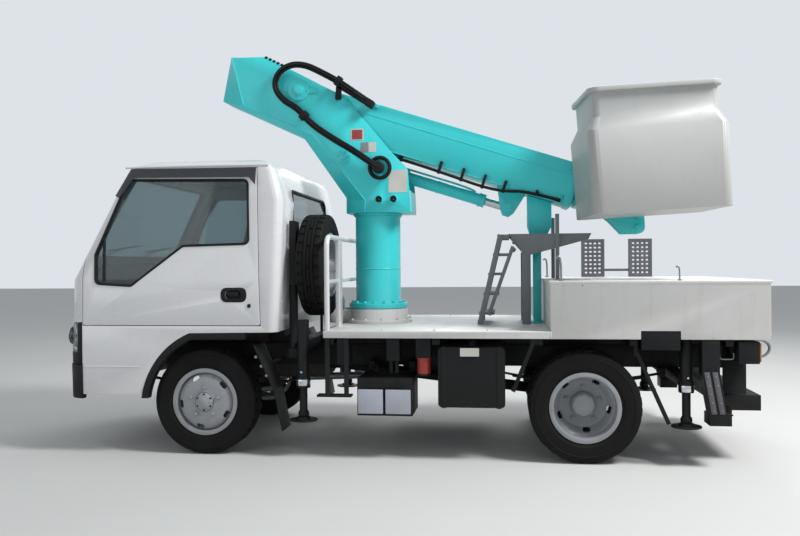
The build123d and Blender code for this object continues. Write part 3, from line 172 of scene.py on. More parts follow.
def grainedPlastic(name, colour, dustColour, dust=0.3, rough=0.4, glare=0.5, grainScale=900.0, grainDepth=0.03):
    # Moulded rubber, plastic or vinyl with a leather grain of 1 to 3 mm
    material, tree, shader, place = newMaterial(name)
    grain = addNode(tree, "ShaderNodeTexVoronoi", {"Vector": place, "Scale": grainScale}).outputs["Distance"]
    cloud = bandOf(tree, noiseAt(tree, place, 7.0, 5.0), 0.35, 0.75)
    feedNode(tree, shader, {
        "Base Color": mixColours(tree, timesOf(tree, cloud, dust), colour, dustColour),
        "Roughness": bandOf(tree, cloud, 0.0, 1.0, rough, rough + 0.2),
        "IOR": 1.46, "Specular IOR Level": glare,
    })
    addBump(tree, shader, grain, grainDepth, 0.0008)
    return material


def clearPane(name, colour, clear, rough, ior=1.49):
    # Tempered float glass, or acrylic, with a thin uneven film
    material, tree, shader, place = newMaterial(name)
    film = bandOf(tree, noiseAt(tree, place, 5.0, 4.0), 0.4, 0.8, rough, rough + 0.05)
    feedNode(tree, shader, {"Roughness": film, "Base Color": colour, "Transmission Weight": clear, "IOR": ior})
    return material


def wovenCloth(name, colour, light, dark):
    # Woven polyester seat cover, threads drawn 3 mm apart so that they show
    material, tree, shader, place = newMaterial(name)
    threads = [
        addNode(
            tree, "ShaderNodeTexWave", {"Vector": place, "Scale": 52.0, "Distortion": 0.6},
            wave_type="BANDS", bands_direction=direction,
        ).outputs["Fac"]
        for direction in ("X", "Y", "Z")
    ]
    weave = timesOf(tree, timesOf(tree, threads[0], threads[1]), threads[2])
    cloth = mixColours(tree, noiseAt(tree, place, 12.0, 5.0), colour, light)
    feedNode(tree, shader, {
        "Base Color": mixColours(tree, timesOf(tree, weave, 0.5), cloth, dark), "Roughness": 0.9, "Sheen Weight": 0.3,
    })
    addBump(tree, shader, weave, 0.5, 0.001)
    return material


materials = {
    "cabWhite": weatheredPaint(
        "enamelWhiteCab", "DEDEE0 D8D8DB 9A948A A7A49D 8C8C8A", (0.75, 0.30),
        fade=0.4, dust=0.22, streak=0.05, chipFrom=0.80, rough=0.24, roughSpread=0.05, coat=0.4, peel=0.02, wave=0.02,
    ),
    "teal": weatheredPaint(
        "enamelTeal", "34D6DA 46D8DA 8FA6A4 2B9FA2 6B6A64", (1.3, 0.8),
        fade=0.6, dust=0.18, streak=0.14, chipFrom=0.755, rough=0.34, roughSpread=0.18, coat=0.2, wave=0.08,
    ),
    "deckCream": weatheredPaint(
        "enamelDeckCream", "DAD9D7 D2D1CE 9A9688 8D877A 6E5A49", (1.1, 0.78),
        fade=0.7, dust=0.2, streak=0.16, chipFrom=0.76, rough=0.42, peel=0.06, wave=0.12,
    ),
    "chassisBlack": weatheredPaint(
        "enamelChassisBlack", "0E0F11 141517 37342F 24221F 4B3B30", (0.7, 0.15),
        glare=0.25, roughSpread=0.25, peel=0.1,
    ),
    "frameGrey": weatheredPaint(
        "enamelFrameGrey", "73787D 7F8385 6A665F 56524C 6A5546", (1.5, 0.8),
        dust=0.25, streak=0.3, chipFrom=0.70, peel=0.08,
    ),
    "rackGrey": weatheredPaint(
        "enamelRackGrey", "56555C 616066 5E5A54 45423E 6A5546", (1.5, 0.8),
        dust=0.25, streak=0.3, chipFrom=0.70, rough=0.5, peel=0.08,
    ),
    "wheelSilver": weatheredPaint(
        "enamelWheelSilver", "9A9DA2 8C8F94 80796E 77726A 5D5148", (0.7, 0.1),
        chipFrom=0.73, rough=0.36, coat=0.1, wave=0.02,
    ),
    "bucketShell": weatheredPaint(
        "gelcoatBucket", "B4B5B4 ADAEAC A29C8C A39D8F A7A69C", (2.1, 1.55),
        dust=0.22, streak=0.16, rough=0.38, roughSpread=0.16, coat=0.1, peel=0.02, wave=0.18,
    ),
    "lockerGrey": weatheredPaint("enamelLockerGrey", "B4B9C6 A7ACB8 8C877C 8A8579 5F5A52", (0.6, 0.25), peel=0.06),
    "filterRed": weatheredPaint(
        "enamelFilterRed", "A62A24 93332B 6B5A4E 5C2A22 6B5546", (0.8, 0.4),
        fade=0.7, dust=0.3, chipFrom=0.75, rough=0.35, coat=0.1, wave=0.02,
    ),
    "tyreRubber": grainedPlastic(
        "rubberTyre", "0D0D0E", "262422", glare=0.25, dust=0.25, rough=0.7, grainScale=420.0, grainDepth=0.12,
    ),
    "hoseRubber": grainedPlastic(
        "rubberHose", "0C0C0E", "2D2C2A", glare=0.3, dust=0.25, grainScale=300.0, grainDepth=0.1,
    ),
    "trimBlack": grainedPlastic(
        "polypropyleneTrim", "101113", "2A2927", glare=0.3, rough=0.5, grainScale=600.0, grainDepth=0.2,
    ),
    "labelWhite": grainedPlastic("vinylPale", "D6D4CC", "A8A398"),
    "labelRed": grainedPlastic("vinylRed", "9E3A3A", "B08078", dust=0.4, rough=0.42),
    "labelGrey": grainedPlastic("vinylGrey", "8C9196", "A5A29B", rough=0.42),
    "steel": bareMetal("steelRolled", "8E9296", "6A5F55", 0.4, 0.34, 0.85, (1, 1, 6)),
    "chrome": bareMetal("chromeHard", "C9CDD1", "AEB2B6", 0.2, 0.1, 1.0),
    "castIron": bareMetal("ironCast", "3B3A39", "57463A", 0.6, 0.6, 0.4),
    # glass colour: partly the glass's own green tint, partly darkened past it as painted shade for the cab's inside
    "glass": clearPane("glassTemperedShadeDarkened", "9DB0B4", 0.92, 0.02, 1.45),
    "lens": clearPane("polycarbonateLens", "EEF1F2", 0.9, 0.04, 1.5),
    "lensRed": clearPane("acrylicRed", "C01818", 0.35, 0.12),
    "lensAmber": clearPane("acrylicAmber", "F08A1C", 0.4, 0.12),
    "smokedAcrylic": clearPane("acrylicSmoked", "4B4E56", 0.7, 0.03),
    "seatCloth": wovenCloth("polyesterSeat", "3A3E44", "4A4F57", "202327"),
}
print("materials made", len(materials))


# Modelling helpers
def makeActive(piece):
    if bpy.context.object and bpy.context.object.mode != "OBJECT":
        bpy.ops.object.mode_set(mode="OBJECT")
    bpy.ops.object.select_all(action="DESELECT")
    if piece:
        piece.select_set(True)
        bpy.context.view_layer.objects.active = piece


def newPiece(name, data):
    piece = bpy.data.objects.new(name, data)
    bpy.context.scene.collection.objects.link(piece)
    makeActive(piece)
    return piece


def movePiece(piece, place, degrees=0, axis="Y"):
    # turned about the origin, then moved
    turn = Matrix.Rotation(math.radians(degrees), 4, axis)
    piece.data.transform(Matrix.Translation(place) @ turn)
    return piece


def turnedAbout(piece, x, z, degrees):
    # turned in the truck's side plane about a point of its own
    centre = Matrix.Translation((x, 0, z))
    piece.data.transform(centre @ Matrix.Rotation(math.radians(degrees), 4, "Y") @ centre.inverted())
    return piece


facesOut = (bpy.ops.mesh.normals_make_consistent, {"inside": False})


def editMesh(piece, *steps):
    # edit steps, each on the whole mesh, with its settings
    makeActive(piece)
    bpy.ops.object.mode_set(mode="EDIT")
    for step, settings in steps:
        bpy.ops.mesh.select_all(action="SELECT")
        step(**settings)
    bpy.ops.object.mode_set(mode="OBJECT")


def applyModifier(piece, modifier):
    makeActive(piece)
    bpy.ops.object.modifier_apply(modifier=modifier.name)


def applyPlace():
    bpy.ops.object.transform_apply(location=True, rotation=True, scale=True)


def roundEdges(piece, width, segments=2, angle=35):
    # bevel modifier on the sharp edges, applied at once
    bevel = piece.modifiers.new("bevel", "BEVEL")
    bevel.width = width
    bevel.segments = segments
    bevel.limit_method = "ANGLE"
    bevel.angle_limit = math.radians(angle)
    applyModifier(piece, bevel)
    return piece


def finishPiece(parts, name, body, material, replaced=(), slotName=None):
    # the parts joined as one piece, shaded, named and given to its body; slotName is not used
    piece = joinPieces(parts)
    makeActive(piece)
    applyPlace()
    bpy.ops.object.shade_smooth_by_angle(angle=math.radians(32))
    piece.name = name
    piece.data.name = name
    piece.data.materials.clear()
    piece.data.materials.append(materials[material])
    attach(piece, body)
    if replaced:
        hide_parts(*replaced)


def joinPieces(parts):
    makeActive(None)
    for part in parts:
        part.select_set(True)
    bpy.context.view_layer.objects.active = parts[0]
    if len(parts) > 1:
        bpy.ops.object.join()
    return parts[0]


def cleanCopy(nodeName):
    # the node's own shape as one closed mesh with flat faces whole again
    piece = copyOf(nodes[nodeName])
    piece.parent = None
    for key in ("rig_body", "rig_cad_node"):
        if key in piece:
            del piece[key]
    editMesh(
        piece, (bpy.ops.mesh.remove_doubles, {"threshold": 0.00002}),
        (bpy.ops.mesh.dissolve_limited, {"angle_limit": math.radians(0.6)}),
    )
    return piece


def copyOf(piece):
    # a copy with its own mesh
    other = piece.copy()
    other.data = piece.data.copy()
    bpy.context.scene.collection.objects.link(other)
    return other


def block(low, high, bevel=0.003):
    # a cube added at its size and place, with its edges rounded
    makeActive(None)
    bpy.ops.mesh.primitive_cube_add(size=1, location=[(a + b) / 2 for a, b in zip(low, high)])
    piece = bpy.context.object
    piece.scale = [abs(b - a) for a, b in zip(low, high)]
    applyPlace()
    return roundEdges(piece, bevel)


def rod(start, end, radius, sides=20, bevel=0.0015):
    # a cylinder between two points
    run = Vector(end) - Vector(start)
    makeActive(None)
    bpy.ops.mesh.primitive_cylinder_add(
        vertices=sides, radius=radius, depth=run.length, location=(Vector(start) + Vector(end)) / 2,
        rotation=run.to_track_quat("Z", "Y").to_euler(),
    )
    piece = bpy.context.object
    applyPlace()
    return roundEdges(piece, bevel, 2, 50) if bevel else piece


def hexBolt(place, direction, size):
    # hexagon head on a washer, size is across the flats
    out = Vector(direction).normalized()
    base = Vector(place)
    washer = rod(base, base + out * size * 0.14, size * 0.72, 16, 0)
    head = rod(base + out * size * 0.1, base + out * size * 0.62, size * 0.577, 6, size * 0.06)
    return joinPieces([washer, head])


def ringPlaces(centre, radius, count, first=0.0, axis="Y"):
    # places spaced evenly on a circle round the axis, the first one turned by a share of their spacing
    places = []
    for i in range(count):
        turn = math.tau * (i + first) / count
        along, across = radius * math.cos(turn), radius * math.sin(turn)
        step = (along, 0, across) if axis == "Y" else (along, across, 0)
        places.append(tuple(a + b for a, b in zip(centre, step)))
    return places


def boltRing(centre, radius, count, size, direction, first=0.0):
    axis = "Z" if direction[2] else "Y"
    return [hexBolt(place, direction, size) for place in ringPlaces(centre, radius, count, first, axis)]


def torus(place, radius, width, sides=64, widthSides=8, turn=(0, 0, 0)):
    makeActive(None)
    bpy.ops.mesh.primitive_torus_add(
        major_radius=radius, minor_radius=width, major_segments=sides, minor_segments=widthSides,
        location=place, rotation=turn,
    )
    return bpy.context.object


def spunPiece(profile, centre=(0, 0, 0), axis="Y", steps=48):
    # an open profile of (radius, along) pairs turned round the wheel's own axis
    mesh = bpy.data.meshes.new("profile")
    points = [(radius, along, 0) if axis == "Y" else (radius, 0, along) for radius, along in profile]
    mesh.from_pydata(points, [(i, i + 1) for i in range(len(points) - 1)], [])
    piece = newPiece("profile", mesh)
    turnAxis = (0, 1, 0) if axis == "Y" else (0, 0, 1)
    editMesh(
        piece, (bpy.ops.mesh.spin, {"steps": steps, "angle": math.tau, "center": (0, 0, 0), "axis": turnAxis}),
        (bpy.ops.mesh.remove_doubles, {"threshold": 0.00005}), facesOut,
    )
    piece.location = centre
    applyPlace()
    return piece


def newCurve(name, points, radius, kind="NURBS", fineness=3, steps=8, radiusOnPoints=False):
    # one spline through given points, with a round section; the points carry the radius on
    # a piece that stays a curve, so that its own box is right
    curve = bpy.data.curves.new(name, "CURVE")
    curve.dimensions = "3D"
    spline = curve.splines.new(kind)
    spline.points.add(len(points) - 1)
    for point, place in zip(spline.points, points):
        point.co = (*place, 1)
        if radiusOnPoints:
            point.radius = radius
    if kind == "NURBS":
        spline.order_u = 3
        spline.use_endpoint_u = True
    curve.bevel_depth = 1 if radiusOnPoints else radius
    curve.bevel_resolution = fineness
    curve.resolution_u = steps
    curve.use_fill_caps = True
    return newPiece(name, curve)


def tubeAlong(points, radius):
    # a round tube on a smooth line, made a mesh
    newCurve("tube", points, radius)
    bpy.ops.object.convert(target="MESH")
    return bpy.context.object


def sealLoop(points, radius):
    # rubber section round a closed outline of points in space
    seal = newCurve("seal", points, radius, "POLY", 2)
    seal.data.splines[0].use_cyclic_u = True
    bpy.ops.object.convert(target="MESH")
    return bpy.context.object


def outlinePlate(points, low, high, bevel=0.002, segments=2):
    # an upright plate along the truck: outline filled, extruded to its thickness, edges rounded
    mesh = bpy.data.meshes.new("plate")
    low, high = sorted((low, high))
    mesh.from_pydata([(x, low, z) for x, z in points], [], [list(range(len(points)))])
    piece = newPiece("plate", mesh)
    thickness = {"TRANSFORM_OT_translate": {"value": (0, high - low, 0)}}
    editMesh(piece, (bpy.ops.mesh.extrude_region_move, thickness), facesOut)
    return roundEdges(piece, bevel, segments) if bevel else piece


def roundCorners(points, radius, steps=5):
    # outline with each corner turned into a short arc
    rounded = []
    count = len(points)
    for i in range(count):
        before, corner, after = (Vector((*points[j % count], 0)) for j in (i - 1, i, i + 1))
        toBefore, toAfter = (before - corner), (after - corner)
        half = toBefore.angle(toAfter) / 2
        cut = min(radius / math.tan(half), toBefore.length * 0.45, toAfter.length * 0.45)
        start = corner + toBefore.normalized() * cut
        end = corner + toAfter.normalized() * cut
        for step in range(steps + 1):
            share = step / steps
            point = start * (1 - share) ** 2 + corner * 2 * share * (1 - share) + end * share ** 2
            rounded.append((point.x, point.y))
    return rounded


def roundedBox(left, right, bottom, top, radius, steps=5):
    return roundCorners(((left, bottom), (left, top), (right, top), (right, bottom)), radius, steps)


# Frame solids dressed: closed up, edges rounded, smooth where they curve
# each body's nodes, with material, edge radius and, where it isn't the material's own, the record slot
dressing = {
    "truck": {
        "cab_shell": ("cabWhite", 0.006), "guard_hoop": ("cabWhite", 0.002, "black_paint"),
        "headlamps": ("lens", 0.003), "front_bumper": ("trimBlack", 0.004), "front_mudguards": ("trimBlack", 0.003),
        "air_intake": ("trimBlack", 0.006), "dashboard": ("trimBlack", 0.006), "seats": ("seatCloth", 0.02),
        "chassis_frame": ("chassisBlack", 0.003), "leaf_springs": ("chassisBlack", 0.001),
        "propshaft": ("chassisBlack", 0.002), "tanks": ("chassisBlack", 0.004), "battery_box": ("chassisBlack", 0.003),
        "hydraulic_valves": ("chassisBlack", 0.003), "jack_tubes": ("chassisBlack", 0.002),
        "side_stays": ("chassisBlack", 0.002), "rear_steps": ("chassisBlack", 0.003),
        "engine_block": ("castIron", 0.004), "front_axle": ("castIron", 0.002), "rear_axle": ("castIron", 0.002),
        "exhaust": ("steel", 0.003), "front_deck": ("deckCream", 0.003), "rear_box": ("deckCream", 0.004),
        "slewing_base": ("deckCream", 0.004), "boom_rest": ("teal", 0.003), "access_platform": ("frameGrey", 0.002),
        "rear_racks": ("rackGrey", 0.001),
    },
    "turret": {"turret_head": ("teal", 0.004)}, "boom": {"boom_outer": ("teal", 0.004)},
    "boom_second": {"boom_middle": ("teal", 0.003)}, "boom_third": {"boom_inner": ("teal", 0.003)},
    "lift_barrel": {"lift_barrel": ("teal", 0.002)}, "lift_rod": {"lift_rod": ("chrome", 0.001)},
    "yoke": {"level_yoke": ("teal", 0.002)},
    "work_bucket": {"bucket": ("bucketShell", 0.010), "bucket_mount": ("teal", 0.003)},
}
for side, sideName in sides:
    dressing["door_" + sideName] = {"door_" + sideName: ("cabWhite", 0.004)}
    dressing["knuckle_" + sideName] = {"knuckle_" + sideName: ("castIron", 0.002)}
    dressing["wheel_front_" + sideName] = {"rim_front_" + sideName: ("wheelSilver", 0.002)}
    dressing["wheels_rear_" + sideName] = {"rims_rear_" + sideName: ("wheelSilver", 0.002)}
    for end in ("front_", "rear_"):
        dressing["jack_" + end + sideName] = {"jack_leg_" + end + sideName: ("chassisBlack", 0.001)}
for body, looks in dressing.items():
    for nodeName, (material, edge, *slotName) in looks.items():
        piece = roundEdges(cleanCopy(nodeName), edge)
        finishPiece([piece], nodeName + "Skin", body, material, (nodeName,), *slotName)
print("solids dressed")

# Panes stay as they are, in the glass darkened to paint the shade inside the cab
for nodeName in ("cab_glass", "door_glass_left", "door_glass_right"):
    nodes[nodeName].data.materials.clear()
    nodes[nodeName].data.materials.append(materials["glass"])

# Tyres: one is turned and cut, the others are copies
frontX, rearX, axleZ = -1.305, 1.185, 0.352
tyreLook = {
    # radius and place across from the bead over the wall to the shoulder
    "wall": (
        (0.2055, -0.074), (0.212, -0.077), (0.226, -0.0775), (0.232, -0.081), (0.246, -0.0865),
        (0.249, -0.0885), (0.254, -0.0885), (0.257, -0.0885), (0.284, -0.0919), (0.303, -0.0905),
        (0.306, -0.0925), (0.311, -0.0925), (0.314, -0.089), (0.330, -0.0855), (0.340, -0.0815),
        (0.3475, -0.0725), (0.351, -0.062),
    ),
    "radius": 0.352, "steps": 96, "grooveDepth": 0.007, "grooveHalf": 0.004, "grooveSlope": 0.001,
    "grooves": (-0.036, -0.012, 0.012, 0.036), "lugEvery": 3, "lugDepth": 0.007,
    "shoulder": (0.040, 0.0725), "shoulderRadius": 0.3475, "middleHalf": 0.008, "middleRadius": 0.3505,
}


def makeTyre(look):
    profile = list(look["wall"])
    top, edge, slope = look["radius"], look["grooveHalf"], look["grooveSlope"]
    low = top - look["grooveDepth"]
    for middle in look["grooves"]:
        near, far = middle - edge, middle + edge
        profile += [(top, near), (low, near + slope), (low, far - slope), (top, far)]
    profile += [(radius, -along) for radius, along in reversed(look["wall"])]
    piece = spunPiece(profile, steps=look["steps"])
    # lugs: short cross grooves pressed into the shoulder ribs and the middle one
    bpy.ops.object.mode_set(mode="EDIT")
    bpy.ops.mesh.select_all(action="DESELECT")
    shape = bmesh.from_edit_mesh(piece.data)
    for face in shape.faces:
        middle = face.calc_center_median()
        radius = math.hypot(middle.x, middle.z)
        turn = int((math.atan2(middle.z, middle.x) / math.tau % 1) * look["steps"])
        shift = 1 if middle.y > 0 else 0
        inner, outer = look["shoulder"]
        onShoulder = radius > look["shoulderRadius"] and inner < abs(middle.y) < outer
        onMiddle = radius > look["middleRadius"] and abs(middle.y) < look["middleHalf"]
        if onShoulder and (turn + shift) % look["lugEvery"] == 0:
            face.select_set(True)
        if onMiddle and turn % (look["lugEvery"] * 2) == 0:
            face.select_set(True)
    bmesh.update_edit_mesh(piece.data)
    bpy.ops.mesh.extrude_region_shrink_fatten(TRANSFORM_OT_shrink_fatten={"value": -look["lugDepth"]})
    bpy.ops.object.mode_set(mode="OBJECT")
    return piece


firstTyre = makeTyre(tyreLook)
for side, sideName in sides:
    title = sideName.title()
    # name, body, replaced nodes, place along and across the truck
    tyrePlaces = (
        ("tyreFront" + title, "wheel_front_" + sideName, ("tyre_front_" + sideName,), frontX, 0.697),
        ("tyreRear" + title + "Outer", "wheels_rear_" + sideName, ("tyres_rear_" + sideName,), rearX, 0.724),
        ("tyreRear" + title + "Inner", "wheels_rear_" + sideName, (), rearX, 0.512),
    )
    for name, body, replaced, x, y in tyrePlaces:
        tyre = movePiece(copyOf(firstTyre), (x, side * y, axleZ))
        finishPiece([tyre], name, body, "tyreRubber", replaced)

# Spare wheel, its rim's dish towards the hoop
spareWheel = {
    "centre": (-0.595, -0.430, 1.262), "turn": 90,
    "rim": (
        (0.052, 0.018), (0.118, 0.018), (0.146, 0.012), (0.192, -0.028), (0.196, -0.06), (0.196, -0.082),
        (0.2225, -0.083), (0.2225, -0.079), (0.205, -0.076), (0.205, 0.076), (0.2225, 0.079), (0.2225, 0.083),
        (0.196, 0.082), (0.196, -0.02), (0.150, 0.026), (0.118, 0.03), (0.052, 0.03), (0.052, 0.018),
    ),
}
for piece, name, material, replaced in (
    (copyOf(firstTyre), "spareTyre", "tyreRubber", ("spare_wheel",)),
    (spunPiece(spareWheel["rim"], steps=64), "spareRim", "wheelSilver", ()),
):
    movePiece(piece, spareWheel["centre"], spareWheel["turn"], "Z")
    finishPiece([piece], name, "truck", material, replaced)
bpy.data.objects.remove(firstTyre)
print("tyres made")

# Wheel nuts and hubs. The front disc bulges outwards, the rear one is dished.
hubLook = {
    "nuts": 5, "nutSize": 0.022, "studRadius": 0.0065, "studLength": 0.022,
    "dome": ((0.0, 0.8140), (0.014, 0.8135), (0.026, 0.8105), (0.033, 0.8050), (0.0345, 0.7960), (0.0345, 0.7900)),
    "flange": ((0.0335, 0.7960), (0.0480, 0.7955), (0.0600, 0.7930), (0.0660, 0.7890), (0.0665, 0.7855)),
}


def nutRing(x, y, circle):
    parts = []
    side = math.copysign(1, y)
    for place in ringPlaces((x, y, axleZ), circle, hubLook["nuts"], 0.25):
        tip = Vector(place) + Vector((0, side * hubLook["studLength"], 0))
        parts.append(hexBolt(place, (0, side, 0), hubLook["nutSize"]))
        parts.append(rod(place, tip, hubLook["studRadius"], 12, 0.001))
    return parts


def hubTurned(profile, side, steps):
    return spunPiece([(radius, side * along) for radius, along in profile], (frontX, 0, axleZ), "Y", steps)


for side, sideName in sides:
    title = sideName.title()
    out = (0, side, 0)
    hub = nutRing(frontX, side * 0.786, 0.098) + [hubTurned(hubLook["dome"], side, 32)]
    flange = [hubTurned(hubLook["flange"], side, 48)]
    flange += boltRing((frontX, side * 0.7950, axleZ), 0.050, 6, 0.012, out, 0.5)
    finishPiece(flange, "hubFlange" + title, "wheel_front_" + sideName, "chassisBlack", slotName="iron")
    finishPiece(hub, "hubFront" + title, "wheel_front_" + sideName, "wheelSilver")
    hub = nutRing(rearX, side * 0.632, 0.112) + boltRing((rearX, side * 0.700, axleZ), 0.062, 8, 0.012, out)
    finishPiece(hub, "hubRear" + title, "wheels_rear_" + sideName, "wheelSilver")
print("wheels finished")

# Cab trim: the shell's own side and front lines, height against half width and front x
cabLines = (
    (0.362, 0.8395, -2.284), (0.684, 0.8475, -2.288), (1.172, 0.8475, -2.268), (1.341, 0.8395, -2.175),
    (1.690, 0.8195, -1.988), (1.890, 0.8055, -1.881), (1.936, 0.7915, -1.838), (1.966, 0.7375, -1.745),
)
# the rear wall's line, height against x
rearLine = ((1.341, -0.766), (1.690, -0.758), (1.890, -0.800))


def lineAt(line, height, column=1):
    for low, high in zip(line, line[1:]):
        if height <= high[0]:
            share = max(0.0, (height - low[0]) / (high[0] - low[0]))
            return low[column] + share * (high[column] - low[column])
    return line[-1][column]


def onSide(x, z, side, lift=0.0):
    return (x, side * (lineAt(cabLines, z) + lift), z)


doorLook = {
    "window": (
        (-2.040, 1.146), (-2.043, 1.340), (-1.821, 1.841), (-0.988, 1.826), (-0.978, 1.404), (-1.429, 1.394),
        (-1.789, 1.130),
    ),
    "rounding": 0.036, "sealRadius": 0.009, "barX": -1.985, "barHeights": (1.16, 1.30, 1.44),
    # left, right, bottom, top
    "cup": (-1.136, -1.028, 1.040, 1.096), "bezel": (-1.165, -0.990, 1.020, 1.116), "cupRounding": 0.026,
    "recessFace": 0.8262, "lock": (-0.973, 0.996),
    "visorUpper": ((-1.905, 1.735), (-1.800, 1.916), (-0.960, 1.908), (-0.930, 1.906)),
    "visorLower": ((-1.868, 1.718), (-1.768, 1.853), (-0.975, 1.843), (-0.931, 1.790)), "visorStandOff": 0.022,
}
for side, sideName in sides:
    body = "door_" + sideName
    title = sideName.title()
    outline = roundCorners(doorLook["window"], doorLook["rounding"])
    seal = sealLoop([onSide(x, z, side, -0.003) for x, z in outline], doorLook["sealRadius"])
    # bar between the quarter pane and the drop pane
    bar = tubeAlong([onSide(doorLook["barX"], z, side, -0.010) for z in doorLook["barHeights"]], 0.009)
    # paddle in a dark cup with its rim, and the lock beside it
    left, right, bottom, top = doorLook["cup"]
    cupOutline = roundedBox(left, right, bottom, top, doorLook["cupRounding"])
    face = doorLook["recessFace"]
    cup = outlinePlate(cupOutline, side * face, side * (face + 0.004), 0.001)
    paddle = outlinePlate(
        roundedBox(left + 0.012, right - 0.012, bottom + 0.02, top - 0.006, 0.010),
        side * (face + 0.004), side * (face + 0.019), 0.003, 3,
    )
    rimOutline = roundedBox(left - 0.004, right + 0.004, bottom - 0.004, top + 0.004, 0.030)
    cupRim = sealLoop([(x, side * 0.8468, z) for x, z in rimOutline], 0.004)
    # flat oval bezel round the cup, cut open where the cup is
    bezel = outlinePlate(roundedBox(*doorLook["bezel"], 0.046, 8), side * 0.8462, side * 0.8496, 0)
    opening = outlinePlate(cupOutline, side * 0.84, side * 0.86, 0)
    cut = bezel.modifiers.new("cut", "BOOLEAN")
    cut.object = opening
    applyModifier(bezel, cut)
    bpy.data.objects.remove(opening)
    roundEdges(bezel, 0.0012)
    lockX, lockZ = doorLook["lock"]
    lock = rod((lockX, side * 0.8465, lockZ), (lockX, side * 0.8525, lockZ), 0.013, 24, 0.002)
    trim = [seal, bar, cup, paddle, cupRim, bezel, lock]
    finishPiece(trim, "doorTrim" + title, body, "trimBlack")
    # smoked rain visor over the top of the door's window, its lower edge standing out
    upper = [onSide(x, z, side, 0.003) for x, z in doorLook["visorUpper"]]
    lower = [onSide(x, z, side, doorLook["visorStandOff"]) for x, z in doorLook["visorLower"]]
    mesh = bpy.data.meshes.new("visor")
    mesh.from_pydata(upper + lower, [], [(i, i + 1, i + 5, i + 4) for i in range(3)])
    visor = roundEdges(newPiece("visor", mesh), 0.020, 3, 20)
    wall = visor.modifiers.new("wall", "SOLIDIFY")
    wall.thickness = 0.003
    applyModifier(visor, wall)
    finishPiece([visor], "rainVisor" + title, body, "smokedAcrylic")
print("doors trimmed")

# Windscreen: seal, wipers; rear pane seal
windscreen = {
    "outline": ((-0.700, 1.330), (-0.640, 1.880), (0.640, 1.880), (0.700, 1.330)), "rounding": 0.06,
    "sealRadius": 0.012, "bow": 0.026, "steps": 4,
}


def onFront(y, z, lift=0.0):
    return (lineAt(cabLines, z, 2) + windscreen["bow"] * (y / lineAt(cabLines, z)) ** 2 - lift, y, z)


points = []
corners = roundCorners(windscreen["outline"], windscreen["rounding"])
for (y0, z0), (y1, z1) in zip(corners, corners[1:] + corners[:1]):
    for step in range(windscreen["steps"]):
        share = step / windscreen["steps"]
        points.append(onFront(y0 + (y1 - y0) * share, z0 + (z1 - z0) * share, -0.003))
frontSeal = sealLoop(points, windscreen["sealRadius"])
rearOutline = roundCorners(((-0.520, 1.390), (-0.500, 1.780), (0.500, 1.780), (0.520, 1.390)), 0.05)
rearSeal = sealLoop([(lineAt(rearLine, z) - 0.002, y, z) for y, z in rearOutline], 0.010)
finishPiece([frontSeal, rearSeal], "paneSeals", "truck", "hoseRubber")

wiperLook = {"pivots": (-0.52, 0.10), "height": 1.300, "reach": 0.31, "rise": 0.10, "bladeHalf": 0.23, "tilt": 0.022}
parts = []
for pivotY in wiperLook["pivots"]:
    pivot = Vector(onFront(pivotY, wiperLook["height"], 0.012))
    tip = Vector(onFront(pivotY + wiperLook["reach"], wiperLook["height"] + wiperLook["rise"], 0.020))
    lift = Vector((-0.012, 0, 0.006))
    parts.append(rod(pivot + Vector((0.02, 0, -0.01)), pivot + lift, 0.014, 16, 0.003))
    parts.append(tubeAlong([pivot, pivot.lerp(tip, 0.5) + lift, tip], 0.005))
    low, high = (
        onFront(tip.y + way * wiperLook["bladeHalf"], tip.z + way * wiperLook["tilt"], 0.010) for way in (-1, 1)
    )
    parts.append(tubeAlong([low, onFront(tip.y, tip.z, 0.012), high], 0.006))
finishPiece(parts, "wipers", "truck", "trimBlack")

# Front lamps: bowls behind the lenses, open on the lens' own face; a bare plate on the bumper
lampLook = {
    "across": (0.605, 0.735), "height": 0.790,
    "bowl": (
        (0.0, 0.034), (0.012, 0.034), (0.016, 0.018), (0.030, 0.012), (0.048, 0.004), (0.056, -0.003),
        (0.060, -0.004), (0.062, 0.001),
    ),
}
parts = []
for side in (-1, 1):
    for y in lampLook["across"]:
        front = onFront(y, lampLook["height"])[0]
        bowl = spunPiece(lampLook["bowl"], steps=40)
        parts.append(movePiece(bowl, (front, side * y, lampLook["height"]), -90, "Z"))
finishPiece(parts, "lampBowls", "truck", "chrome", slotName="lamp_lens")
finishPiece([block((-2.2955, -0.165, 0.442), (-2.291, 0.165, 0.508), 0.002)], "barePlate", "truck", "cabWhite")

# Crease along the lower front panel and drip rails over the doors
creaseLine = ((-2.125, 0.8455, 0.590), (-1.95, 0.8458, 0.590), (-1.725, 0.8455, 0.591))
railLine = ((-1.842, 0.7965, 1.925), (-1.6, 0.7975, 1.928), (-1.2, 0.7975, 1.928), (-0.850, 0.7965, 1.925))
parts = []
for side in (-1, 1):
    for line, radius in ((creaseLine, 0.004), (railLine, 0.007)):
        parts.append(tubeAlong([(x, side * y, z) for x, y, z in line], radius))
finishPiece(parts, "cabRails", "truck", "cabWhite")
print("cab finished")

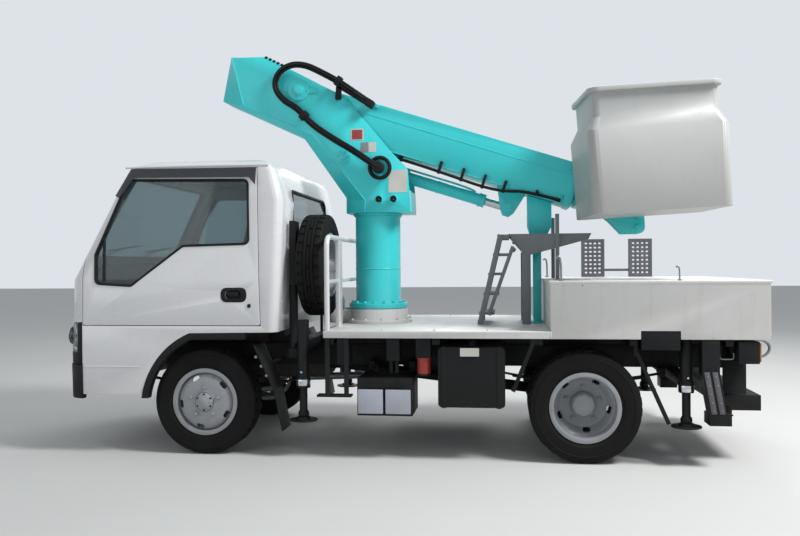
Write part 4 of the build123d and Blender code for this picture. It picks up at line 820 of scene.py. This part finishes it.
# Column and head: flange bolts, weld seams, pins
slewX = -0.247
up = (0, 0, 1)
headLook = {
    "seams": ((1.232, 0.1675, 0.004), (0.982, 0.169, 0.007), (1.618, 0.169, 0.005)),
    # weld beads where the nose meets the side plates
    "noseEdge": ((-1.301, 2.800), (-1.219, 2.449), (-0.692, 2.212), (-0.310, 1.730), (-0.314, 1.640)),
    "keeper": ((-0.748, 2.515), (-0.748, 2.553), (-0.648, 2.553), (-0.648, 2.515)),
    "plateFace": 0.2005, "keeperFace": 0.2085, "footPin": (-0.794, 0, 2.544), "liftPin": (-0.465, 0, 2.050),
}
parts = boltRing((slewX, 0, 0.980), 0.193, 16, 0.024, up)
for height, radius, width in headLook["seams"]:
    parts.append(torus((slewX, 0, height), radius, width))
for side in (-1, 1):
    for (x0, z0), (x1, z1) in zip(headLook["noseEdge"], headLook["noseEdge"][1:]):
        parts.append(rod((x0, side * 0.2, z0), (x1, side * 0.2, z1), 0.0035, 8, 0))
    # pin caps with keeper plates
    x, _, z = headLook["footPin"]
    parts.append(rod((x, side * 0.210, z), (x, side * 0.226, z), 0.034, 32, 0.004))
    parts.append(outlinePlate(headLook["keeper"], side * headLook["plateFace"], side * headLook["keeperFace"]))
    for x in (-0.728, -0.668):
        parts.append(hexBolt((x, side * headLook["keeperFace"], 2.534), (0, side, 0), 0.014))
    x, _, z = headLook["liftPin"]
    parts += boltRing((x, side * 0.212, z), 0.041, 6, 0.010, (0, side, 0))
finishPiece(parts, "headFittings", "turret", "teal")

# Foot bolts and the swing motor's end cover, bolts and hoses
motorX = -0.560
parts = boltRing((slewX, 0, 0.858), 0.236, 12, 0.020, up, 0.5)
parts.append(rod((motorX, 0, 1.008), (motorX, 0, 1.030), 0.046, 32, 0.004))
parts += boltRing((motorX, 0, 0.924), 0.081, 6, 0.014, up)
finishPiece(parts, "baseFittings", "truck", "deckCream")
motorHose = (
    (motorX, 1.0, 0.990), (-0.630, 1.3, 0.990), (-0.668, 1.6, 0.950), (-0.668, 2.0, 0.880), (-0.668, 2.0, 0.772),
)
parts = [tubeAlong([(x, y * spread, z) for x, spread, z in motorHose], 0.011) for y in (-0.035, 0.035)]
finishPiece(parts, "motorHoses", "truck", "hoseRubber")

# Rubber collar of the hose opening, and the two lock pins
parts = [torus((-0.198, -0.214, 1.960), 0.074, 0.014, 48, 12, (math.radians(90), 0, 0))]
tips = []
for x in (-0.204, -0.098):
    parts.append(rod((x, -0.228, 1.733), (x, -0.240, 1.733), 0.024, 24, 0.004))
    parts.append(rod((x - 0.020, -0.246, 1.720), (x + 0.018, -0.246, 1.748), 0.007, 12, 0.002))
    tips.append(rod((x, -0.240, 1.733), (x, -0.247, 1.733), 0.009, 16, 0.002))
finishPiece(parts, "headBlackParts", "turret", "hoseRubber")
finishPiece(tips, "pinTips", "turret", "steel")

# Bare labels: body, material, outline's left, right, bottom, top and corner, faces behind and in front
kerbFaces, farFaces = (-0.2, -0.2012), (0.2, 0.2012)
bareLabels = {
    "labelPale": ("turret", "labelWhite", (-0.136, -0.002, 1.781, 1.942, 0.004), kerbFaces),
    "labelRed": ("turret", "labelRed", (-0.402, -0.326, 2.172, 2.240, 0.004), (-0.2, -0.2022)),
    "labelRedEdge": ("turret", "labelWhite", (-0.412, -0.316, 2.164, 2.248, 0.004), kerbFaces),
    "labelGrey": ("turret", "labelGrey", (-0.338, -0.283, 2.076, 2.148, 0.004), kerbFaces),
    "labelGreyPale": ("turret", "labelWhite", (-0.281, -0.226, 2.076, 2.148, 0.004), kerbFaces),
    "labelPaleFar": ("turret", "labelWhite", (-0.136, -0.002, 1.781, 1.942, 0.004), farFaces),
    "tankLabel": ("truck", "labelWhite", (0.405, 0.525, 0.673, 0.726, 0.005), (-0.8220, -0.8272)),
}
for name, (body, material, outline, faces) in bareLabels.items():
    finishPiece([outlinePlate(roundedBox(*outline), *faces, 0)], name, body, material)

# Edge guard with black bands on the plate's top edge near the nose
guardFrom, guardTo, guardBands = Vector((-1.052, -0.191, 2.796)), Vector((-0.905, -0.191, 2.722)), 5
parts = []
for i in range(guardBands):
    start = guardFrom.lerp(guardTo, i / guardBands + 0.02)
    end = guardFrom.lerp(guardTo, (i + 1) / guardBands - 0.06)
    parts.append(rod(start, end, 0.012, 16, 0.002))
finishPiece(parts, "edgeGuard", "turret", "trimBlack")

# Hoses of the head: the route of the frame's own tube, three hoses side by side on it
hoseRoute = (
    (-0.215, 1.962), (-0.330, 2.052), (-0.560, 2.190), (-0.702, 2.292), (-0.790, 2.400), (-0.900, 2.462),
    (-0.968, 2.560), (-0.945, 2.660), (-0.850, 2.722), (-0.735, 2.716), (-0.617, 2.657), (-0.490, 2.586),
    (-0.354, 2.489),
)
hoseEnd = (-0.270, -0.200, 2.433)
hoseY = -0.246
# name, radius, shift across the bundle, shift in y, replaced nodes
hoseStrands = (
    ("headHoseOuter", 0.0115, 0.0125, 0.000, ("turret_hoses",)), ("headHoseInner", 0.0115, -0.0125, 0.002, ()),
    ("headHoseThin", 0.006, 0.000, -0.015, ()),
)


def routeNormals(route):
    normals = []
    for i in range(len(route)):
        before = Vector(route[max(i - 1, 0)])
        after = Vector(route[min(i + 1, len(route) - 1)])
        run = (after - before).normalized()
        normals.append(Vector((-run.y, run.x)))
    return normals


def cordLength(piece):
    # length of the curve's own line, read from a copy with no bevel
    depth = piece.data.bevel_depth
    piece.data.bevel_depth = 0
    bpy.context.view_layer.update()
    mesh = bpy.data.meshes.new_from_object(piece.evaluated_get(bpy.context.evaluated_depsgraph_get()))
    places = [vertex.co for vertex in mesh.vertices]
    total = sum((places[a] - places[b]).length for a, b in (edge.vertices for edge in mesh.edges))
    piece.data.bevel_depth = depth
    return total


def makeCord(name, points, radius, body, replaced):
    piece = newCurve(name, points, radius, "NURBS", 4, 10, True)
    piece.data.materials.append(materials["hoseRubber"])
    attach(piece, body)
    if replaced:
        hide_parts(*replaced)
    length = cordLength(piece)
    print("cord", name, round(length, 3))


normals = routeNormals(hoseRoute)
for name, radius, across, aside, replaced in hoseStrands:
    points = [
        (x + normal.x * across, hoseY + aside, z + normal.y * across) for (x, z), normal in zip(hoseRoute, normals)
    ]
    last = normals[-1] * across
    points.append((hoseEnd[0] + last.x, hoseEnd[1] + aside * 0.3, hoseEnd[2] + last.y))
    makeCord(name, points, radius, "turret", replaced)

# Gland in the collar, clamps on the bundle and the bracket that holds the loop up
clampLook = {
    # x, z, turn and the y where its post starts
    "places": ((-0.746, 2.346, 51, -0.2005), (-0.490, 2.586, 33, -0.2145)), "half": (0.020, 0.036),
    "front": -0.272, "back": -0.220, "postEnd": -0.232,
    "bracket": ((-0.523, 2.462), (-0.512, 2.606), (-0.472, 2.606), (-0.477, 2.462)), "plate": (-0.2145, -0.2005),
    # carrier strap under the last stretch and the block that the hoses end in
    "strap": ((-0.506, 2.548), (-0.262, 2.392), (-0.238, 2.420), (-0.484, 2.592)), "endTurn": 33,
}
front, back = clampLook["front"], clampLook["back"]
halfX, halfZ = clampLook["half"]
parts = [rod((-0.207, -0.2005, 1.961), (-0.207, -0.262, 1.961), 0.042, 32, 0.010)]
for x, z, turn, postStart in clampLook["places"]:
    clamp = block((x - halfX, front, z - halfZ), (x + halfX, back, z + halfZ), 0.006)
    parts.append(turnedAbout(clamp, x, z, turn))
    parts.append(rod((x, postStart, z), (x, clampLook["postEnd"], z), 0.016, 24, 0.002))
    parts.append(hexBolt((x, front, z), (0, -1, 0), 0.014))
parts.append(outlinePlate(roundCorners(clampLook["bracket"], 0.010), *clampLook["plate"], 0.003))
parts.append(outlinePlate(clampLook["strap"], *clampLook["plate"], 0.003))
endBlock = block((-0.300, -0.262, 2.398), (-0.236, -0.182, 2.452), 0.006)
parts.append(turnedAbout(endBlock, -0.268, 2.425, clampLook["endTurn"]))
for across in (-0.0125, 0.0125):
    shift = Vector((across * 0.55, 0, across * 0.83))
    start, end = Vector((-0.330, -0.226, 2.470)) + shift, Vector((-0.285, -0.216, 2.438)) + shift
    parts.append(rod(start, end, 0.0145, 6, 0.002))
finishPiece(parts, "hoseClamps", "turret", "trimBlack")
print("turret finished")

# Boom: its own line starts at the foot pin and falls by 18 degrees
boomDegrees = 18
boomTurn = math.radians(boomDegrees)
boomAlong = Vector((math.cos(boomTurn), 0, -math.sin(boomTurn)))
boomUp = Vector((math.sin(boomTurn), 0, math.cos(boomTurn)))
boomFoot = Vector(headLook["footPin"])


def boomPlace(along, y, height):
    return boomFoot + boomAlong * along + boomUp * height + Vector((0, y, 0))


def boomRod(start, end, y, height, radius):
    return rod(boomPlace(start, y, height), boomPlace(end, y, height), radius, 8, 0)


def boomBlock(start, end, low, high, y0, y1, bevel=0.002):
    piece = block((start, min(y0, y1), low), (end, max(y0, y1), high), bevel)
    return movePiece(piece, boomFoot, boomDegrees)


boomLook = {
    "half": 0.165, "top": 0.068, "bottom": -0.236, "foldHeight": -0.020, "bead": 0.004,
    "padHeights": (0.030, -0.195), "padHalf": 0.022, "padDepth": 0.006, "lugs": (0.95, 1.45, 1.95), "lugHalf": 0.020,
}
parts = []
for side in (-1, 1):
    face = side * boomLook["half"]
    padFace = face + side * boomLook["padDepth"]
    # folded seam along each side, and weld beads along the four edges
    parts.append(boomRod(0.42, 2.078, face, boomLook["foldHeight"], 0.0028))
    for height in (boomLook["top"] - boomLook["bead"], boomLook["bottom"] + boomLook["bead"]):
        parts.append(boomRod(0.10, 2.08, face - side * 0.003, height, boomLook["bead"]))
    # wear pad covers near the open end
    for height in boomLook["padHeights"]:
        half = boomLook["padHalf"]
        parts.append(boomBlock(1.985, 2.060, height - half, height + half, face, padFace))
        for along in (2.000, 2.045):
            parts.append(hexBolt(boomPlace(along, padFace, height), (0, side, 0), 0.012))
    # pin cap at the boom's foot
    parts.append(rod(boomPlace(0, face, 0), boomPlace(0, side * 0.169, 0), 0.075, 40, 0.001))
for along in boomLook["lugs"]:
    half, top = boomLook["lugHalf"], boomLook["top"]
    parts.append(boomBlock(along - half, along + half, top, top + 0.007, -0.030, 0.030))
finishPiece(parts, "boomWelds", "boom", "teal")

# Bolts at the open ends of the two sliding sections: body, place along, y and heights
endBolts = {
    "middleEndPads": ("boom_second", 2.165, 0.153, (-0.179, 0.011)),
    "innerEndPads": ("boom_third", 2.225, 0.124, (-0.156, -0.012)),
}
for name, (body, along, y, heights) in endBolts.items():
    parts = [
        hexBolt(boomPlace(along, side * y, height), (0, side, 0), 0.012) for side in (-1, 1) for height in heights
    ]
    finishPiece(parts, name, body, "steel")

# Hose along the boom, on the frame's own route, with its clips and end nuts
boomHoseRoute = (
    (0.600, -0.262, -0.128), (0.760, -0.262, -0.129), (0.900, -0.263, -0.130), (1.040, -0.268, -0.179),
    (1.270, -0.276, -0.180), (1.500, -0.286, -0.179), (1.660, -0.270, -0.179), (1.790, -0.226, -0.179),
    (2.010, -0.220, -0.180),
)
# along, height, y
boomHosePoints = [tuple(boomPlace(along, y, height)) for along, height, y in boomHoseRoute]
makeCord("boomHose", boomHosePoints, 0.011, "boom", ("boom_pipes",))
parts = [boomBlock(along - 0.014, along + 0.014, -0.276, -0.236, -0.144, -0.112, 0.003) for along in (0.700, 0.860)]
for along, height in ((1.160, -0.273), (1.330, -0.279), (1.490, -0.284), (1.640, -0.270), (1.870, -0.223)):
    parts.append(boomBlock(along - 0.010, along + 0.010, height - 0.015, -0.196, -0.194, -0.165, 0.003))
for (along, height, y), shift in ((boomHoseRoute[0], -0.035), (boomHoseRoute[-1], 0.035)):
    parts.append(rod(boomPlace(along, y, height), boomPlace(along + shift, y, height), 0.014, 6, 0.002))
finishPiece(parts, "boomClips", "boom", "trimBlack")
# port where the head's hoses come down on the boom's top edge
port = boomBlock(0.545, 0.600, 0.040, 0.066, -0.176, -0.165, 0.003)
finishPiece([port], "boomHosePort", "boom", "teal")

# Lift cylinder: feed pipe along the barrel, rings at its ends and between
liftFoot = Vector(headLook["liftPin"])
liftLine = (Vector((0.715, 0, 1.668)) - liftFoot).normalized()
liftUp = Vector((-liftLine.z, 0, liftLine.x))
pipeLine = ((0.12, 0.045), (0.15, 0.062), (0.55, 0.062), (0.95, 0.062), (0.98, 0.045))
# place along, width, radius, bevel
barrelRings = ((1.018, 0.052, 0.002), (0.080, 0.052, 0.002), (0.35, 0.0465, 0.001), (0.70, 0.0465, 0.001))
parts = [tubeAlong([liftFoot + liftLine * along + liftUp * height for along, height in pipeLine], 0.008)]
for along, radius, bevel in barrelRings:
    parts.append(rod(liftFoot + liftLine * along, liftFoot + liftLine * (along + 0.012), radius, 40, bevel))
finishPiece(parts, "barrelFittings", "lift_barrel", "teal")
print("boom finished")

# Deck: joints where the front deck's side meets the rear box, and floor bolts
deckLook = {"sideFace": 0.8475, "seamX": 0.974, "seamHeights": (0.792, 0.830), "floorZ": 0.834, "lipZ": 1.150}
parts = []
for side in (-1, 1):
    low, high = ((deckLook["seamX"], side * deckLook["sideFace"], z) for z in deckLook["seamHeights"])
    parts.append(rod(low, high, 0.004, 10, 0.001))
    for x in (-0.440, -0.100, 0.240, 0.580, 0.920):
        parts.append(hexBolt((x, side * 0.790, deckLook["floorZ"]), up, 0.014))
finishPiece(parts, "deckSeams", "truck", "deckCream")

# Steel hooks on the box's lip: place, rise and bar width
hookPlaces = ((1.040, -0.820, 0.165, 0.010), (1.752, -0.838, 0.095, 0.007), (1.040, 0.820, 0.165, 0.010))
parts = []
for x, y, rise, radius in hookPlaces:
    base = deckLook["lipZ"]
    parts.append(rod((x, y, base), (x, y, base + 0.008), radius * 1.6, 20, 0.001))
    parts.append(tubeAlong([
        (x, y, base + 0.004), (x, y, base + rise * 0.55), (x - radius * 0.6, y, base + rise * 0.88),
        (x - radius * 1.8, y, base + rise - radius * 0.7), (x - radius * 3.0, y, base + rise * 0.84),
    ], radius * 0.7))
finishPiece(parts, "lipHooks", "truck", "steel")

# Platform's bracket bolts, and the rubber pad in the boom's rest
bracketBolts = ((0.760, 1.360), (0.760, 1.420), (1.180, 1.420))
parts = [hexBolt((x, side * 0.235, z), (0, side, 0), 0.016) for side in (-1, 1) for x, z in bracketBolts]
finishPiece(parts, "platformBolts", "truck", "frameGrey")
finishPiece([block((0.875, -0.060, 1.752), (1.007, 0.060, 1.757), 0.002)], "restPad", "truck", "hoseRubber")
print("deck finished")

# Under the deck: battery lids, each with a rubber strap and its toggle
lids = ((-0.2545, -0.0925), (-0.0755, 0.0875))
parts = [outlinePlate(roundedBox(left, right, 0.3005, 0.4565, 0.006), -0.833, -0.830, 0.001) for left, right in lids]
finishPiece(parts, "batteryLids", "truck", "lockerGrey")
parts = []
for left, right in lids:
    middle = (left + right) / 2
    parts.append(block((middle - 0.008, -0.8145, 0.456), (middle + 0.008, -0.812, 0.520), 0.001))
    parts.append(block((middle - 0.014, -0.820, 0.460), (middle + 0.014, -0.8125, 0.480), 0.002))
finishPiece(parts, "batteryStraps", "truck", "hoseRubber")

# Red filter, and the tank straps' threaded ends with their nuts
filterShape = (
    (0.0, 0.5385), (0.026, 0.5390), (0.038, 0.5440), (0.0436, 0.5560), (0.0436, 0.6420), (0.0465, 0.6440),
    (0.0465, 0.6580), (0.0440, 0.6600), (0.0440, 0.6610), (0.0, 0.6610),
)
finishPiece([spunPiece(filterShape, (0.168, -0.760, 0), "Z", 40)], "filterCan", "truck", "filterRed")
parts = []
for x in (0.300, 0.650):
    parts.append(rod((x, -0.812, 0.352), (x, -0.812, 0.392), 0.006, 12, 0.001))
    parts.append(hexBolt((x, -0.812, 0.388), up, 0.018))
finishPiece(parts, "strapEnds", "truck", "steel")

# Jacks: bright rings at the tubes' lower ends, lock pins above
parts = []
for x, z in ((-0.634, 0.489), (1.804, 0.478)):
    for y in (-0.756, 0.756):
        parts.append(rod((x, y, z - 0.021), (x, y, z + 0.021), 0.0478, 36, 0.004))
        parts.append(rod((x, y - 0.056, z + 0.070), (x, y + 0.056, z + 0.070), 0.007, 14, 0.002))
finishPiece(parts, "jackRings", "truck", "chrome", slotName="steel")

# Rear lamps: a black box with its hanger on each side, and red, amber and clear lenses
lampBoxes = ((0.560, 0.835, 2.095, 2.2205, 0.640, 0.006), (0.660, 0.735, 2.075, 2.100, 0.690, 0.002))
lensPlaces = {
    "lampRed": (0.655, 0.742, "lensRed"), "lampAmber": (0.747, 0.825, "lensAmber"), "lampClear": (0.570, 0.650, "lens"),
}


def mirroredBlocks(inner, outer, low, high, bevel):
    # the same block on both sides, low and high are its x and z
    return [
        block((low[0], y0, low[1]), (high[0], y1, high[1]), bevel)
        for y0, y1 in ((-outer, -inner), (inner, outer))
    ]


parts = []
for inner, outer, front, back, low, bevel in lampBoxes:
    parts += mirroredBlocks(inner, outer, (front, low), (back, 0.776), bevel)
finishPiece(parts, "rearLampBoxes", "truck", "trimBlack", ("rear_lamps",))
for name, (inner, outer, material) in lensPlaces.items():
    lenses = mirroredBlocks(inner, outer, (2.218, 0.650), (2.232, 0.766), 0.005)
    finishPiece(lenses, name, "truck", material, slotName="lamp_red")

# Bright bent bar behind the near lamp, and a pull handle ahead of it: x and z
hookLine = (
    (2.225, 0.760), (2.285, 0.772), (2.335, 0.752), (2.352, 0.712), (2.330, 0.672), (2.285, 0.656), (2.225, 0.660),
)
handleLine = (
    (2.000, -0.765, 0.700), (2.000, -0.772, 0.668), (2.010, -0.772, 0.662), (2.075, -0.772, 0.662),
    (2.085, -0.772, 0.668), (2.085, -0.765, 0.700),
)
parts = [tubeAlong([(x, -0.600, z) for x, z in hookLine], 0.009), tubeAlong(handleLine, 0.005)]
finishPiece(parts, "rearBars", "truck", "steel")

# Pressed grey strips on the rear step's struts, which run down from x, z to x, z
strutTop, strutFoot, stripShifts = (1.930, 0.592), (1.976, 0.330), (-0.024, 0.024)
parts = []
for side in (-1, 1):
    for shift in stripShifts:
        strip = ((1.914 + shift, 0.590), (1.946 + shift, 0.590), (1.990 + shift, 0.334), (1.958 + shift, 0.334))
        parts.append(outlinePlate(strip, side * 0.8450, side * 0.8480, 0.001))
finishPiece(parts, "stepStrips", "truck", "rackGrey")

# Bolts: mudguard stays, rear step struts, under-run bar
parts = []
for side in (-1, 1):
    for x, z in ((-0.937, 0.659), (-0.901, 0.599), (-0.865, 0.537)):
        parts.append(hexBolt((x, side * 0.823, z), (0, side, 0), 0.014))
    for share in (0.12, 0.32, 0.52, 0.72, 0.9):
        x, z = (high + (low - high) * share for high, low in zip(strutTop, strutFoot))
        for shift in stripShifts:
            parts.append(hexBolt((x + shift, side * 0.8465, z), (0, side, 0), 0.009))
    for z in (0.350, 0.396):
        parts.append(hexBolt((2.282, side * 0.30, z), (1, 0, 0), 0.018))
finishPiece(parts, "underBolts", "truck", "steel")
print("underside finished")


# Floor, light and camera
def makeStage():
    makeActive(None)
    bpy.ops.mesh.primitive_plane_add(size=80, location=(0, 0, 0))
    floor = bpy.context.object
    floor.name = "studioFloor"
    material, tree, shader, place = newMaterial("concretePale")
    cloud = noiseAt(tree, place, 0.8, 6.0)
    feedNode(tree, shader, {"Base Color": mixColours(tree, cloud, "D6D6D4", "CDCDCA"), "Roughness": 0.85})
    floor.data.materials.append(material)


def makeWorld():
    # soft light from a pale sky that is brighter to the eye than to the shapes
    world = bpy.context.scene.world or bpy.data.worlds.new("studio")
    bpy.context.scene.world = world
    world.use_nodes = True
    tree = world.node_tree
    tree.nodes.clear()
    soft = addNode(tree, "ShaderNodeBackground", {"Color": "E8EEF4", "Strength": 0.48})
    pale = addNode(tree, "ShaderNodeBackground", {"Color": "DDE3E8", "Strength": 1.0})
    path = addNode(tree, "ShaderNodeLightPath", {}).outputs
    seen = path["Is Camera Ray"]
    for kind in ("Is Glossy Ray", "Is Transmission Ray"):
        seen = addNode(tree, "ShaderNodeMath", {0: seen, 1: path[kind]}, operation="MAXIMUM").outputs[0]
    both = addNode(tree, "ShaderNodeMixShader", {0: seen, 1: soft.outputs[0], 2: pale.outputs[0]})
    addNode(tree, "ShaderNodeOutputWorld", {0: both.outputs[0]})


makeStage()
makeWorld()
# name, place, target, power, size
lamps = (
    ("keyLamp", (5.6, -2.4, 7.0), (0.0, 0.0, 1.0), 700, 2.2),
    ("fillLamp", (-5.5, -6.5, 3.2), (-0.5, 0.0, 1.0), 40, 4.0),
    ("backLamp", (1.0, 6.5, 6.0), (0.0, 0.0, 1.2), 200, 4.0),
)
for name, place, target, power, size in lamps:
    bpy.ops.object.light_add(type="AREA", location=place)
    lamp = bpy.context.object
    lamp.name = name
    lamp.data.energy = power
    lamp.data.size = size
    lamp.rotation_euler = (Vector(target) - Vector(place)).to_track_quat("-Z", "Y").to_euler()

# Camera as the photograph's: 797.6 pixels of focal length on a picture 800 wide
cameraLook = {
    "place": (0.68725, -5.90090, 1.25348), "yaw": 0.12992, "pitch": -0.00305, "roll": -0.00727,
    "focalPixels": 797.636, "pictureWidth": 800, "sensorWidth": 36,
}


def makeCamera(look):
    yaw, pitch, roll = look["yaw"], look["pitch"], look["roll"]
    ahead = Vector((-math.sin(yaw) * math.cos(pitch), math.cos(yaw) * math.cos(pitch), math.sin(pitch)))
    level = Vector((math.cos(yaw), math.sin(yaw), 0))
    upright = level.cross(ahead)
    right = level * math.cos(roll) + upright * math.sin(roll)
    top = upright * math.cos(roll) - level * math.sin(roll)
    bpy.ops.object.camera_add(location=look["place"])
    camera = bpy.context.object
    camera.rotation_euler = Matrix((right, top, -ahead)).transposed().to_euler()
    camera.data.sensor_width = look["sensorWidth"]
    camera.data.lens = look["sensorWidth"] * look["focalPixels"] / look["pictureWidth"]
    bpy.context.scene.camera = camera


makeCamera(cameraLook)
bpy.context.scene.view_settings.view_transform = "Standard"
print("stage, lamps and camera set")

bpy.context.view_layer.update()
